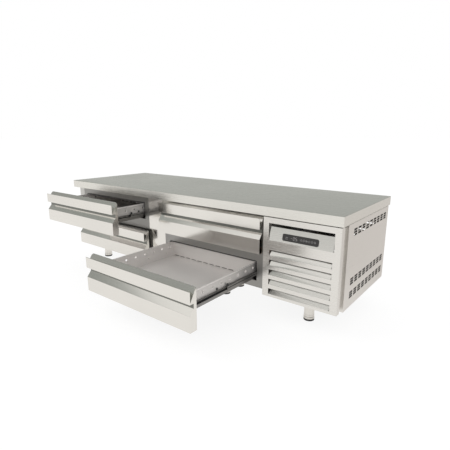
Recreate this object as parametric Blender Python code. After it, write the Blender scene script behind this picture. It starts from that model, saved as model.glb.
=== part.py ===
# Refrigerated chef base: a low counter with four cooled drawers and a side machine compartment.
# Lengths are in metres. Pieces are laid out from the worktop's front left corner, down to the floor:
# x runs along the front to the right, y runs from the worktop's front edge to the back, z runs up.
import math

import bmesh
import bpy
from mathutils import Vector

# Overall size
WIDTH = 2.120
DEPTH = 0.700
HEIGHT = 0.610
LEG_CLEARANCE = 0.135
WORKTOP_EDGE = 0.050
WORKTOP_ROUND = 0.0015
WORKTOP_SHEET = 0.002
WORKTOP_FRONT_RETURN = 0.062
WORKTOP_BACK_RETURN = 0.045
WORKTOP_END_RETURN = 0.022

# Fits and sheets
FIT_GAP = 0.0003
SHEET = 0.0012
THICK_SHEET = 0.003
RUNNING_GAP = 0.0004
OVERRUN = 0.010

# Insulated body
BACK_SETBACK = 0.030
BODY_LIFT = 0.012
MACHINE_WIDTH = 0.416
BACK_INSULATION = 0.052
LINER_MARGIN = 0.002

# Drawer columns and tiers
END_GAP = 0.050
PILLAR_GAP = 0.138
PARTITION_GAP = 0.016
FRONT_TOP_GAP = 0.006
TIER_GAP = 0.019
OPENING_INSET = 0.045
OPENING_LOW_SHARE = 0.245
OPENING_HIGH_SHARE = 0.795
FRAME_MARGIN = 0.006
MULLION_PROUD = 0.0012

# Drawer front profile, seen from the side, as shares of its height and thickness
FRONT_THICKNESS = 0.042
LOWER_BAND_SHARE = 0.3875
SLANT_TOP_SHARE = 0.535
LIP_SHARE = 0.6475
GUTTER_FLOOR_SHARE = 0.68
PLATE_TOP_SHARE = 0.9375
SLANT_DEPTH_SHARE = 0.5714
SKIN_DEPTH_SHARE = 0.0714
GUTTER_BACK_SHARE = 0.9524
CORNER_ROUND_SHARE = 0.075
CORNER_STEPS = 4

# Gasket behind each front
GASKET_SPACE = 0.008
GASKET_INSET = 0.012
GASKET_WIDTH = 0.014

# Telescopic runners
SLIDE_SPACE = 0.013
SLIDE_HEIGHT = 0.022
SLIDE_FRONT_GAP = 0.005
SLIDE_BACK_GAP = 0.013
SLIDE_ABOVE_FLOOR = 0.019
CHANNEL_CLEAR = 0.0008
RAIL_TIP_CLEAR = 0.0005

# Drawer boxes
BOX_FLOOR_CLEAR = 0.0105
BOX_TOP_CLEAR = 0.007
BOX_BACK_CLEAR = 0.0307
WALL_HOLE_RADIUS = 0.007
WALL_HOLES = 8
WALL_HOLE_MARGIN = 0.035
FOLD_SLOT_LENGTH = 0.036
FOLD_SLOT_HEIGHT = 0.004
FOLD_SLOT_PITCH = 0.048

# How far each drawer stands open, as a share of its full travel
UPPER_LEFT_OPEN_SHARE = 0.44
LOWER_LEFT_OPEN_SHARE = 0.018
UPPER_RIGHT_OPEN_SHARE = 0.0
LOWER_RIGHT_OPEN_SHARE = 0.9455

# Machine compartment front panel, with heights as shares of the body's height
PANEL_LEFT_GAP = 0.005
PANEL_RIGHT_GAP = 0.007
PANEL_SETBACK = 0.004
PANEL_RIM_DEPTH = 0.032
PANEL_RIM_WIDTH = 0.010
PANEL_LOW_GAP = 0.003
PANEL_TOP_GAP = 0.004
LOUVRE_SIDE = 0.036
LOUVRE_COUNT = 5
LOUVRE_FIRST_SHARE = 0.0424
LOUVRE_PITCH_SHARE = 0.1217
LOUVRE_HEIGHT_SHARE = 0.0694
SLAT_DEPTH = 0.013
SLAT_END_GAP = 0.003
SLAT_TOP_SHARE = 0.76
CONTROL_SIDE = 0.031
CONTROL_LOW_SHARE = 0.7177
CONTROL_HIGH_SHARE = 0.9224
CONTROL_PLATE_SHARE = 0.793

# Controller
CONTROLLER_WIDTH = 0.190
CONTROLLER_HEIGHT_SHARE = 0.51
CONTROLLER_UP_SHARE = 0.145
CONTROLLER_PROUD = 0.0025
CONTROLLER_BACK_INSET = 0.010
CONTROLLER_DEPTH = 0.028

# Side panel and its vents, with heights as shares of the body's height
SIDE_STEP = 0.017
SIDE_RETURN = 0.025
VENT_FRONT_MARGIN = 0.067
VENT_BACK_MARGIN = 0.0264
VENT_GROUPS = 9
VENT_SLOT_SHARE = 0.74
VENT_ROWS = 3
VENT_ROW_PITCH_SHARE = 0.0294
VENT_SLOT_HEIGHT_SHARE = 0.0215
VENT_LOW_SHARE = 0.1494
VENT_MID_SHARE = 0.3118
VENT_TOP_SHARE = 0.889

# Rear grille
GRILLE_SIDE_MARGIN = 0.035
GRILLE_COLUMNS = 3
GRILLE_SLOT_SHARE = 0.8
GRILLE_ROWS = 6
GRILLE_LOW_SHARE = 0.22
GRILLE_ROW_PITCH_SHARE = 0.1
GRILLE_SLOT_HEIGHT_SHARE = 0.019

# Base tray
TRAY_LIP = 0.020

# Compressor
COMPRESSOR_RIGHT_GAP = 0.125
COMPRESSOR_BACK_GAP = 0.200
COMPRESSOR_RADIUS = 0.075
COMPRESSOR_HEIGHT_SHARE = 0.4
COMPRESSOR_FOOT = 0.170
COMPRESSOR_FOOT_DEPTH = 0.120
COMPRESSOR_FOOT_THICKNESS = 0.004
COMPRESSOR_SKIRT_LIFT = 0.012

# Condenser and fans
CONDENSER_SIDE_GAP = 0.036
CONDENSER_FRONT_GAP = 0.035
CONDENSER_DEPTH = 0.045
CONDENSER_HEIGHT_SHARE = 0.612
FIN_THICKNESS = 0.002
CONDENSER_FINS = 19
COIL_SPINE = 0.016
SHROUD_DEPTH = 0.024
CONDENSER_FAN_SHARE = 0.77
EVAPORATOR_FAN_SHARE = 0.79
FAN_TIP_CLEAR = 0.005
FAN_HUB_RADIUS = 0.024
FAN_HUB_LENGTH = 0.016
FAN_BLADES = 5
FAN_BLADE_THICKNESS = 0.002
FAN_BLADE_PITCH_ANGLE = math.radians(24.0)
FAN_BLADE_SWEEP = math.radians(46.0)
MOTOR_RADIUS = 0.030
MOTOR_LENGTH = 0.045
MOTOR_SHAFT_RADIUS = 0.004
MOTOR_ARM_WIDTH = 0.010
MOTOR_ARM_THICKNESS = 0.003
FAN_MOTOR_CLEAR = 0.004

# Discharge pipe from the compressor to the condenser
PIPE_RADIUS = 0.004
PIPE_UP_SHARE = 0.68
PIPE_REACH = 0.060
PIPE_OVER_COIL = 0.040
PIPE_BEND = 0.018
PIPE_SEGMENTS = 8
PIPE_BEND_STEPS = 3

# Electrical box
ELECTRIC_WIDTH = 0.075
ELECTRIC_DEPTH = 0.180
ELECTRIC_HEIGHT = 0.120
ELECTRIC_BACK_GAP = 0.190
ELECTRIC_TOP_GAP = 0.040
ELECTRIC_ROUND = 0.003

# Mains cable gland
GLAND_INSET = 0.060
GLAND_UP = 0.045
GLAND_BORE = 0.005
GLAND_STEM_RADIUS = 0.009
GLAND_NUT_RADIUS = 0.013
GLAND_NUT_LENGTH = 0.012
GLAND_STEM_LENGTH = 0.014

# Evaporator in the pillar between the bays, as shares of the bays' depth and height
TRAY_SIDE_GAP = 0.016
DRIP_TRAY_FRONT_SHARE = 0.056
DRIP_TRAY_LENGTH_SHARE = 0.76
DRIP_TRAY_DEPTH = 0.024
COIL_SIDE_GAP = 0.012
COIL_FRONT_GAP = 0.020
EVAPORATOR_LENGTH_SHARE = 0.407
EVAPORATOR_HEIGHT_SHARE = 0.72
EVAPORATOR_FINS = 15
FAN_FRAME_GAP = 0.040
FAN_FRAME_DEPTH = 0.020
AIR_SLOTS = 5
AIR_SLOT_WIDTH_SHARE = 0.025
AIR_SLOT_PITCH_SHARE = 0.106
AIR_SLOT_FIRST_SHARE = 0.225
AIR_SLOT_LOW_SHARE = 0.27
AIR_SLOT_HEIGHT_SHARE = 0.45

# Legs and adjustable feet
LEG_RADIUS = 0.0265
LEG_WALL = 0.002
LEG_BUSH = 0.015
LEG_FLANGE_RADIUS = 0.040
LEG_FLANGE_THICKNESS = 0.004
FOOT_RADIUS = 0.0285
FOOT_HEIGHT = 0.022
FOOT_CHAMFER = 0.004
FOOT_STEM_RADIUS = 0.011
FOOT_STEM_SHARE = 0.62
LEG_END_INSET = 0.155
LEG_MIDDLE_SHARE = 0.552
LEG_MACHINE_SHARE = 0.495
LEG_FRONT_INSET = 0.155
LEG_INNER_INSET = 0.302
LEG_BACK_INSET = 0.115

ROUND_SEGMENTS = 24
LEG_SEGMENTS = 16
SMALL_ROUND_SEGMENTS = 12
HOLE_SEGMENTS = 8
SMOOTH_ANGLE = math.radians(35.0)

# Planes and levels that several pieces share
WORKTOP_UNDERSIDE = HEIGHT - WORKTOP_EDGE
BODY_HEIGHT = WORKTOP_UNDERSIDE - LEG_CLEARANCE
BODY_TOP = WORKTOP_UNDERSIDE - FIT_GAP
BODY_BOTTOM = LEG_CLEARANCE + BODY_LIFT
BODY_BACK = DEPTH - BACK_SETBACK
FRAME_SETBACK = FRONT_THICKNESS + GASKET_SPACE
FRAME_BACK = FRAME_SETBACK + THICK_SHEET
SIDE_FRONT = FRAME_SETBACK + SIDE_STEP
PARTITION_X = WIDTH - MACHINE_WIDTH

# Drawer fronts and openings
FRONT_WIDTH = (PARTITION_X - PARTITION_GAP - PILLAR_GAP - END_GAP) / 2
COLUMN_PITCH = FRONT_WIDTH + PILLAR_GAP
TIER_PITCH = (BODY_HEIGHT - FRONT_TOP_GAP + TIER_GAP) / 2
FRONT_HEIGHT = TIER_PITCH - TIER_GAP
LOWER_BAND = FRONT_HEIGHT * LOWER_BAND_SHARE
SLANT_TOP = FRONT_HEIGHT * SLANT_TOP_SHARE
LIP_HEIGHT = FRONT_HEIGHT * LIP_SHARE
GUTTER_FLOOR = FRONT_HEIGHT * GUTTER_FLOOR_SHARE
PLATE_TOP = FRONT_HEIGHT * PLATE_TOP_SHARE
SLANT_DEPTH = FRONT_THICKNESS * SLANT_DEPTH_SHARE
SKIN_DEPTH = FRONT_THICKNESS * SKIN_DEPTH_SHARE
GUTTER_BACK = FRONT_THICKNESS * GUTTER_BACK_SHARE
CORNER_ROUND = FRONT_HEIGHT * CORNER_ROUND_SHARE
OPENING_LOW = FRONT_HEIGHT * OPENING_LOW_SHARE
OPENING_HIGH = FRONT_HEIGHT * OPENING_HIGH_SHARE
OPENING_WIDTH = FRONT_WIDTH - 2 * OPENING_INSET
FRAME_WIDTH = FRONT_WIDTH - 2 * FRAME_MARGIN

# Bays, boxes and runners
LINER_LOW = LEG_CLEARANCE + OPENING_LOW - LINER_MARGIN
LINER_HIGH = LEG_CLEARANCE + TIER_PITCH + OPENING_HIGH + LINER_MARGIN
LINER_FRONT = FRAME_BACK + FIT_GAP
LINER_BACK_Y = BODY_BACK - BACK_INSULATION
BAY_DEPTH = LINER_BACK_Y - LINER_FRONT
BAY_HEIGHT = LINER_HIGH - LINER_LOW
BOX_WIDTH = OPENING_WIDTH - 2 * SLIDE_SPACE
BOX_FLOOR = OPENING_LOW + BOX_FLOOR_CLEAR
BOX_TOP = OPENING_HIGH - BOX_TOP_CLEAR
BOX_FRONT = FRONT_THICKNESS + FIT_GAP
BOX_LENGTH = LINER_BACK_Y - BOX_BACK_CLEAR - BOX_FRONT
SLIDE_CENTRE = BOX_FLOOR + SLIDE_ABOVE_FLOOR + SLIDE_HEIGHT / 2
SLIDE_START = FRAME_SETBACK + SLIDE_FRONT_GAP
SLIDE_LENGTH = LINER_BACK_Y - SLIDE_BACK_GAP - SLIDE_START
ROOT_Y = (DEPTH - SLIDE_LENGTH * LOWER_RIGHT_OPEN_SHARE) / 2

# Machine compartment
PANEL_LEFT = PARTITION_X + PANEL_LEFT_GAP
PANEL_RIGHT = WIDTH - PANEL_RIGHT_GAP
CONTROL_LOW = LEG_CLEARANCE + BODY_HEIGHT * CONTROL_LOW_SHARE
CONTROL_HIGH = LEG_CLEARANCE + BODY_HEIGHT * CONTROL_HIGH_SHARE
CONTROL_RISE = (CONTROL_HIGH - CONTROL_LOW) * CONTROL_PLATE_SHARE
CONTROL_SLOPE = math.atan2(SLAT_DEPTH, CONTROL_RISE)
CONTROLLER_HEIGHT = CONTROL_RISE * CONTROLLER_HEIGHT_SHARE
TRAY_LEVEL = LEG_CLEARANCE + SHEET + FIT_GAP
TRAY_FLOOR = TRAY_LEVEL + SHEET + FIT_GAP
CONDENSER_LEFT = PARTITION_X + CONDENSER_SIDE_GAP
CONDENSER_WIDTH = MACHINE_WIDTH - CONDENSER_SIDE_GAP - SIDE_RETURN - CONDENSER_SIDE_GAP / 2
CONDENSER_FRONT = FRAME_SETBACK + CONDENSER_FRONT_GAP
CONDENSER_HEIGHT = BODY_HEIGHT * CONDENSER_HEIGHT_SHARE
COMPRESSOR_X = WIDTH - COMPRESSOR_RIGHT_GAP
COMPRESSOR_Y = BODY_BACK - COMPRESSOR_BACK_GAP
COMPRESSOR_HEIGHT = BODY_HEIGHT * COMPRESSOR_HEIGHT_SHARE

# Colours and finishes: red, green, blue, roughness, metallic
STEEL = (0.70, 0.69, 0.67, 0.30, 1.0)
DULL_STEEL = (0.52, 0.53, 0.52, 0.38, 1.0)
DARK_STEEL = (0.30, 0.30, 0.30, 0.45, 1.0)
FOAM = (0.80, 0.72, 0.48, 0.90, 0.0)
RUBBER = (0.08, 0.08, 0.08, 0.70, 0.0)
BLACK_PLASTIC = (0.03, 0.03, 0.035, 0.35, 0.0)
GREY_PLASTIC = (0.35, 0.36, 0.37, 0.50, 0.0)
ALUMINIUM = (0.74, 0.75, 0.76, 0.40, 1.0)
BLACK_PAINT = (0.04, 0.04, 0.045, 0.40, 0.0)
COPPER = (0.72, 0.42, 0.28, 0.35, 1.0)


def clear_scene():
    for item in list(bpy.data.objects):
        bpy.data.objects.remove(item, do_unlink=True)


def finish_material(name, finish):
    red, green, blue, roughness, metallic = finish
    material = bpy.data.materials.new(name)
    material.use_nodes = True
    shader = material.node_tree.nodes["Principled BSDF"]
    shader.inputs["Base Color"].default_value = (red, green, blue, 1.0)
    shader.inputs["Roughness"].default_value = roughness
    shader.inputs["Metallic"].default_value = metallic
    material.diffuse_color = (red, green, blue, 1.0)
    return material


def link_mesh(name, shape):
    """Turn a bmesh into an object in the scene."""
    bmesh.ops.recalc_face_normals(shape, faces=shape.faces)
    mesh = bpy.data.meshes.new(name)
    shape.to_mesh(mesh)
    shape.free()
    item = bpy.data.objects.new(name, mesh)
    bpy.context.collection.objects.link(item)
    return item


def add_box(shape, low, high):
    """Add a closed box between two corners."""
    corners = []
    for x in (low[0], high[0]):
        for y in (low[1], high[1]):
            for z in (low[2], high[2]):
                corners.append(shape.verts.new((x, y, z)))
    for loop in ((0, 1, 3, 2), (4, 6, 7, 5), (0, 4, 5, 1), (2, 3, 7, 6), (0, 2, 6, 4), (1, 5, 7, 3)):
        shape.faces.new([corners[index] for index in loop])


def boxes(name, spans):
    """One object holding a closed box for each pair of corners."""
    shape = bmesh.new()
    for low, high in spans:
        add_box(shape, low, high)
    return link_mesh(name, shape)


def on_axis(axis, across, up, along):
    """A point from its place in a section and its place along the section's axis."""
    if axis == "X":
        return (along, across, up)
    if axis == "Y":
        return (across, along, up)
    return (across, up, along)


def section(name, axis, loops, start, end):
    """Extrude a flat section, its outline first and its holes after it, along an axis."""
    shape = bmesh.new()
    edges = []
    for loop in loops:
        points = [shape.verts.new(on_axis(axis, across, up, start)) for across, up in loop]
        for index, point in enumerate(points):
            edges.append(shape.edges.new((points[index - 1], point)))
    bmesh.ops.triangle_fill(shape, use_beauty=True, use_dissolve=False, edges=edges)
    extruded = bmesh.ops.extrude_face_region(shape, geom=shape.faces[:], use_keep_orig=True)
    moved = [item for item in extruded["geom"] if isinstance(item, bmesh.types.BMVert)]
    bmesh.ops.translate(shape, verts=moved, vec=on_axis(axis, 0.0, 0.0, end - start))
    return link_mesh(name, shape)


def prisms(name, axis, outlines, start, end):
    """One object holding a separate prism for each outline."""
    shape = bmesh.new()
    for outline in outlines:
        near = [shape.verts.new(on_axis(axis, across, up, start)) for across, up in outline]
        far = [shape.verts.new(on_axis(axis, across, up, end)) for across, up in outline]
        shape.faces.new(near)
        shape.faces.new(far)
        join_rings(shape, near, far, len(outline))
    return link_mesh(name, shape)


def rectangle(left, low, right, high):
    return [(left, low), (right, low), (right, high), (left, high)]


def circle(across, up, radius, segments):
    turn = 2 * math.pi / segments
    return [
        (across + radius * math.cos(turn * step), up + radius * math.sin(turn * step))
        for step in range(segments)
    ]


def turned(name, profile, centre, segments):
    """Spin a closed profile of radius and height round an upright axis."""
    shape = bmesh.new()
    turn = 2 * math.pi / segments
    rings = []
    for radius, height in profile:
        if radius == 0:
            rings.append([shape.verts.new((centre[0], centre[1], centre[2] + height))])
            continue
        ring = []
        for step in range(segments):
            x = centre[0] + radius * math.cos(turn * step)
            y = centre[1] + radius * math.sin(turn * step)
            ring.append(shape.verts.new((x, y, centre[2] + height)))
        rings.append(ring)
    for lower, upper in zip(rings, rings[1:]):
        join_rings(shape, lower, upper, segments)
    if len(rings[0]) > 1 or len(rings[-1]) > 1:
        join_rings(shape, rings[-1], rings[0], segments)
    return link_mesh(name, shape)


def join_rings(shape, lower, upper, segments):
    """Join two rings, or a ring and a point, with faces."""
    for step in range(segments):
        after = (step + 1) % segments
        loop = [lower[step % len(lower)], lower[after % len(lower)]]
        loop += [upper[after % len(upper)], upper[step % len(upper)]]
        corners = list(dict.fromkeys(loop))
        if len(corners) > 2:
            shape.faces.new(corners)


def settle(item):
    """Write an object's placement into its mesh and put the object back at the origin."""
    bpy.context.view_layer.update()
    item.data.transform(item.matrix_world)
    item.rotation_euler = (0.0, 0.0, 0.0)
    item.location = (0.0, 0.0, 0.0)
    return item


def combine(item, other, operation):
    """Join or cut one solid with another and remove the other."""
    modifier = item.modifiers.new("shape", "BOOLEAN")
    modifier.operation = operation
    modifier.solver = "EXACT"
    modifier.object = other
    bpy.context.view_layer.update()
    graph = bpy.context.evaluated_depsgraph_get()
    mesh = bpy.data.meshes.new_from_object(item.evaluated_get(graph))
    item.modifiers.clear()
    item.data = mesh
    bpy.data.objects.remove(other, do_unlink=True)
    return item


def cut(item, other):
    return combine(item, other, "DIFFERENCE")


def join(item, other):
    return combine(item, other, "UNION")


def round_edges(item, width):
    bevel = item.modifiers.new("rounded_edges", "BEVEL")
    bevel.width = width
    bevel.segments = 1
    bevel.limit_method = "ANGLE"
    bevel.angle_limit = SMOOTH_ANGLE
    return item


def complete(item, finish, parent, smooth=False):
    """Give a finished solid its name on its mesh, its material and its parent."""
    item.data.name = item.name
    item.data.materials.clear()
    item.data.materials.append(finish_material(item.name, finish))
    if smooth:
        item.data.shade_smooth()
        item.data.set_sharp_from_angle(angle=SMOOTH_ANGLE)
    item.parent = parent
    return item


def anchor(name, parent, place):
    """An empty that carries pieces which move together, on their joint's axis."""
    empty = bpy.data.objects.new(name, None)
    bpy.context.collection.objects.link(empty)
    empty.parent = parent
    empty.location = place
    return empty


def column_left(column):
    return END_GAP + column * COLUMN_PITCH


def tier_low(tier):
    return LEG_CLEARANCE + tier * TIER_PITCH


def worktop_window(gap):
    """Corners of the opening between the worktop's returned edges."""
    low = (WORKTOP_END_RETURN + gap, WORKTOP_FRONT_RETURN + gap)
    return low, (WIDTH - WORKTOP_END_RETURN - gap, DEPTH - WORKTOP_BACK_RETURN - gap)


def worktop(root):
    """Folded pan whose edges turn down and then inwards."""
    sheet = WORKTOP_SHEET
    item = boxes("worktop", [((0.0, 0.0, WORKTOP_UNDERSIDE), (WIDTH, DEPTH, HEIGHT))])
    round_edges(item, WORKTOP_ROUND)
    low = (sheet, sheet, WORKTOP_UNDERSIDE + sheet)
    hollow = boxes("worktop_hollow", [(low, (WIDTH - sheet, DEPTH - sheet, HEIGHT - sheet))])
    near, far = worktop_window(0.0)
    join(hollow, boxes("window", [((*near, WORKTOP_UNDERSIDE - OVERRUN), (*far, HEIGHT - 2 * sheet))]))
    cut(item, hollow)
    complete(item, STEEL, root)


def outer_casing(root):
    """Steel tray with a left end, a back, a partition and front corner strips."""
    corner = (PARTITION_X, BODY_BACK, BODY_TOP)
    item = boxes("outer_casing", [((0.0, FRAME_SETBACK, BODY_BOTTOM), corner)])
    low = (SHEET, FRAME_SETBACK + SHEET, BODY_BOTTOM + SHEET)
    high = (PARTITION_X - SHEET, BODY_BACK - SHEET, BODY_TOP + OVERRUN)
    cut(item, boxes("casing_hollow", [(low, high)]))
    left = column_left(0) + FRAME_MARGIN - FIT_GAP
    right = column_left(1) + FRONT_WIDTH - FRAME_MARGIN + FIT_GAP
    low = (left, FRAME_SETBACK - OVERRUN, BODY_BOTTOM - OVERRUN)
    high = (right, FRAME_BACK + FIT_GAP, BODY_TOP + OVERRUN)
    cut(item, boxes("casing_window", [(low, high)]))
    complete(item, STEEL, root)


def liner_sides(column):
    """The liner's inner faces, just outside the runner racks."""
    left = column_left(column) + OPENING_INSET
    return left - SHEET - FIT_GAP, left + OPENING_WIDTH + SHEET + FIT_GAP


def insulation_foam(root):
    """Foam round both bays, in one piece with the filling of the worktop above it."""
    skin = SHEET + FIT_GAP
    high = (PARTITION_X - skin, BODY_BACK - skin, BODY_TOP)
    item = boxes("insulation_foam", [((skin, LINER_FRONT, BODY_BOTTOM + skin), high)])
    near, far = worktop_window(FIT_GAP)
    neck_far = (PARTITION_X - skin, far[1], WORKTOP_UNDERSIDE + WORKTOP_SHEET)
    join(item, boxes("neck", [((*near, BODY_TOP - OVERRUN), neck_far)]))
    top = HEIGHT - WORKTOP_SHEET - FIT_GAP
    join(item, boxes("worktop_filling", [((*near, WORKTOP_UNDERSIDE), (*far, top))]))
    low = (liner_sides(0)[0] - skin, 0.0, LINER_LOW - skin)
    high = (liner_sides(1)[1] + skin, LINER_BACK_Y + FIT_GAP, LINER_HIGH + skin)
    cut(item, boxes("foam_hollow", [(low, high)]))
    complete(item, FOAM, root)


def bay_liner(root, name, column):
    """Open-fronted steel liner with air slots towards the evaporator pillar."""
    left, right = liner_sides(column)
    low = (left - SHEET, LINER_FRONT, LINER_LOW - SHEET)
    item = boxes(name, [(low, (right + SHEET, LINER_BACK_Y, LINER_HIGH + SHEET))])
    high = (right, LINER_BACK_Y - SHEET, LINER_HIGH)
    cut(item, boxes("liner_hollow", [((left, LINER_FRONT - OVERRUN, LINER_LOW), high)]))
    wall = right if column == 0 else left
    spans = []
    low = LINER_LOW + BAY_HEIGHT * AIR_SLOT_LOW_SHARE
    high = low + BAY_HEIGHT * AIR_SLOT_HEIGHT_SHARE
    for slot in range(AIR_SLOTS):
        y = LINER_FRONT + BAY_DEPTH * (AIR_SLOT_FIRST_SHARE + slot * AIR_SLOT_PITCH_SHARE)
        far = y + BAY_DEPTH * AIR_SLOT_WIDTH_SHARE
        spans.append(((wall - OVERRUN, y, low), (wall + OVERRUN, far, high)))
    cut(item, boxes("air_slots", spans))
    complete(item, DULL_STEEL, root)


def face_frame(root, name, column):
    """Flat frame with the upper and the lower drawer opening."""
    left = column_left(column)
    outline = rectangle(left + FRAME_MARGIN, BODY_BOTTOM, left + FRAME_MARGIN + FRAME_WIDTH, BODY_TOP)
    holes = []
    for tier in range(2):
        low = tier_low(tier)
        side = left + OPENING_INSET
        holes.append(rectangle(side, low + OPENING_LOW, side + OPENING_WIDTH, low + OPENING_HIGH))
    item = section(name, "Y", [outline] + holes, FRAME_SETBACK, FRAME_BACK)
    complete(item, DULL_STEEL, root)


def mullion_cover(root):
    """Folded cover over the evaporator pillar, between the two face frames."""
    left = column_left(0) + FRAME_MARGIN + FRAME_WIDTH + FIT_GAP
    right = column_left(1) + FRAME_MARGIN - FIT_GAP
    front = FRAME_SETBACK - MULLION_PROUD
    outline = [
        (left, front),
        (right, front),
        (right, FRAME_BACK),
        (right - SHEET, FRAME_BACK),
        (right - SHEET, front + SHEET),
        (left + SHEET, front + SHEET),
        (left + SHEET, FRAME_BACK),
        (left, FRAME_BACK),
    ]
    item = section("mullion_cover", "Z", [outline], BODY_BOTTOM, BODY_TOP)
    complete(item, STEEL, root)


def front_outline():
    """Side view of a drawer front: depth behind its face, height above its foot."""
    return [
        (0.0, 0.0),
        (FRONT_THICKNESS, 0.0),
        (FRONT_THICKNESS, FRONT_HEIGHT),
        (GUTTER_BACK, FRONT_HEIGHT),
        (SKIN_DEPTH, GUTTER_FLOOR),
        (SKIN_DEPTH, PLATE_TOP),
        (0.0, PLATE_TOP),
        (0.0, LIP_HEIGHT),
        (SLANT_DEPTH, LIP_HEIGHT),
        (SLANT_DEPTH, SLANT_TOP),
        (0.0, LOWER_BAND),
    ]


def top_corner(end, inward):
    """Waste outside the rounded upper corner at one end of a drawer front's back flange."""
    centre = end + inward * CORNER_ROUND
    low = FRONT_HEIGHT - CORNER_ROUND
    points = [(centre, FRONT_HEIGHT + OVERRUN), (end - inward * OVERRUN, FRONT_HEIGHT + OVERRUN)]
    points.append((end - inward * OVERRUN, low))
    for step in range(CORNER_STEPS + 1):
        angle = math.pi / 2 * step / CORNER_STEPS
        x = centre - inward * CORNER_ROUND * math.cos(angle)
        points.append((x, low + CORNER_ROUND * math.sin(angle)))
    return points


def drawer_front(carrier, name):
    """Folded front with a finger groove in its face and a sloping gutter behind its top edge."""
    item = section(name, "X", [front_outline()], 0.0, FRONT_WIDTH)
    corners = [top_corner(0.0, 1), top_corner(FRONT_WIDTH, -1)]
    cut(item, prisms("top_corners", "Y", corners, SKIN_DEPTH, FRONT_THICKNESS + OVERRUN))
    complete(item, STEEL, carrier)


def drawer_gasket(carrier, name):
    """Ring that closes the gap between the front's back and the face frame."""
    high = FRONT_HEIGHT - GASKET_INSET
    outline = rectangle(GASKET_INSET, GASKET_INSET + BODY_LIFT, FRONT_WIDTH - GASKET_INSET, high)
    inset = GASKET_INSET + GASKET_WIDTH
    hole = rectangle(inset, inset + BODY_LIFT, FRONT_WIDTH - inset, high - GASKET_WIDTH)
    item = section(name, "Y", [outline, hole], FRONT_THICKNESS + FIT_GAP, FRAME_SETBACK - FIT_GAP)
    complete(item, RUBBER, carrier)


def rail_heights():
    """Half heights of the nested channels: fixed out and in, middle out and in, inner rail."""
    fixed_outside = SLIDE_HEIGHT / 2
    fixed_inside = fixed_outside - SHEET
    middle_outside = fixed_inside - RUNNING_GAP
    middle_inside = middle_outside - SHEET
    return fixed_outside, fixed_inside, middle_outside, middle_inside, middle_inside - RUNNING_GAP


def box_outline():
    """Front view of a drawer box with the runners' inner rails on its side walls."""
    inner = rail_heights()[4]
    tip = SLIDE_SPACE - CHANNEL_CLEAR - SHEET - RUNNING_GAP
    left = OPENING_INSET + SLIDE_SPACE
    right = left + BOX_WIDTH
    points = [(left, BOX_FLOOR), (right, BOX_FLOOR)]
    right_side = rail_steps(right, right + tip, inner)
    left_side = rail_steps(left, left - tip, inner)
    left_side.reverse()
    return points[1:] + right_side + [(right, BOX_TOP), (left, BOX_TOP)] + left_side + points[:1]


def rail_steps(wall, tip, half_height):
    """The two flanges of an inner rail, upwards."""
    points = []
    low = SLIDE_CENTRE - half_height
    high = SLIDE_CENTRE + half_height
    for start, end in ((low, low + SHEET), (high - SHEET, high)):
        points += [(wall, start), (tip, start), (tip, end), (wall, end)]
    return points


def drawer_box(carrier, name):
    """Open-topped steel box with holed side walls and a perforated fold line at the back."""
    back = BOX_FRONT + BOX_LENGTH
    item = section(name, "Y", [box_outline()], BOX_FRONT, back)
    left = OPENING_INSET + SLIDE_SPACE
    right = left + BOX_WIDTH
    low = (left + SHEET, BOX_FRONT + SHEET, BOX_FLOOR + SHEET)
    cut(item, boxes("box_hollow", [(low, (right - SHEET, back - SHEET, BOX_TOP + OVERRUN))]))
    rail_top = SLIDE_CENTRE + rail_heights()[4]
    pitch = (BOX_LENGTH - 2 * WALL_HOLE_MARGIN) / (WALL_HOLES - 1)
    holes = []
    for hole in range(WALL_HOLES):
        y = BOX_FRONT + WALL_HOLE_MARGIN + hole * pitch
        holes.append(circle(y, (rail_top + BOX_TOP) / 2, WALL_HOLE_RADIUS, HOLE_SEGMENTS))
    cut(item, prisms("wall_holes", "X", holes, left - OVERRUN, right + OVERRUN))
    cut(item, boxes("fold_slots", fold_slots(left, right, back)))
    complete(item, DULL_STEEL, carrier)


def fold_slots(left, right, back):
    count = int((right - left - 2 * SHEET) / FOLD_SLOT_PITCH)
    start = (left + right - (count - 1) * FOLD_SLOT_PITCH - FOLD_SLOT_LENGTH) / 2
    low = BOX_FLOOR + 2 * SHEET
    high = low + FOLD_SLOT_HEIGHT
    spans = []
    for slot in range(count):
        x = start + slot * FOLD_SLOT_PITCH
        corner = (x + FOLD_SLOT_LENGTH, back + OVERRUN, high)
        spans.append(((x, back - SHEET - OVERRUN, low), corner))
    return spans


def channel(wall, tip, centre, outside, inside, sheet):
    """A C section with its web at the wall and two flanges that reach to the tip."""
    web = wall + math.copysign(sheet, tip - wall)
    return [
        (wall, centre - outside),
        (tip, centre - outside),
        (tip, centre - inside),
        (web, centre - inside),
        (web, centre + inside),
        (tip, centre + inside),
        (tip, centre + outside),
        (wall, centre + outside),
    ]


def runner_middle(carrier, name, side):
    """Middle member of a telescopic runner, carried by its own anchor."""
    heights = rail_heights()
    edge = OPENING_INSET + (OPENING_WIDTH if side > 0 else 0.0)
    wall = edge - side * CHANNEL_CLEAR
    tip = edge - side * (SLIDE_SPACE - CHANNEL_CLEAR)
    outline = channel(wall, tip, SLIDE_CENTRE, heights[2], heights[3], SHEET)
    item = section(name, "Y", [outline], SLIDE_START, SLIDE_START + SLIDE_LENGTH)
    complete(item, DULL_STEEL, carrier)


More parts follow.
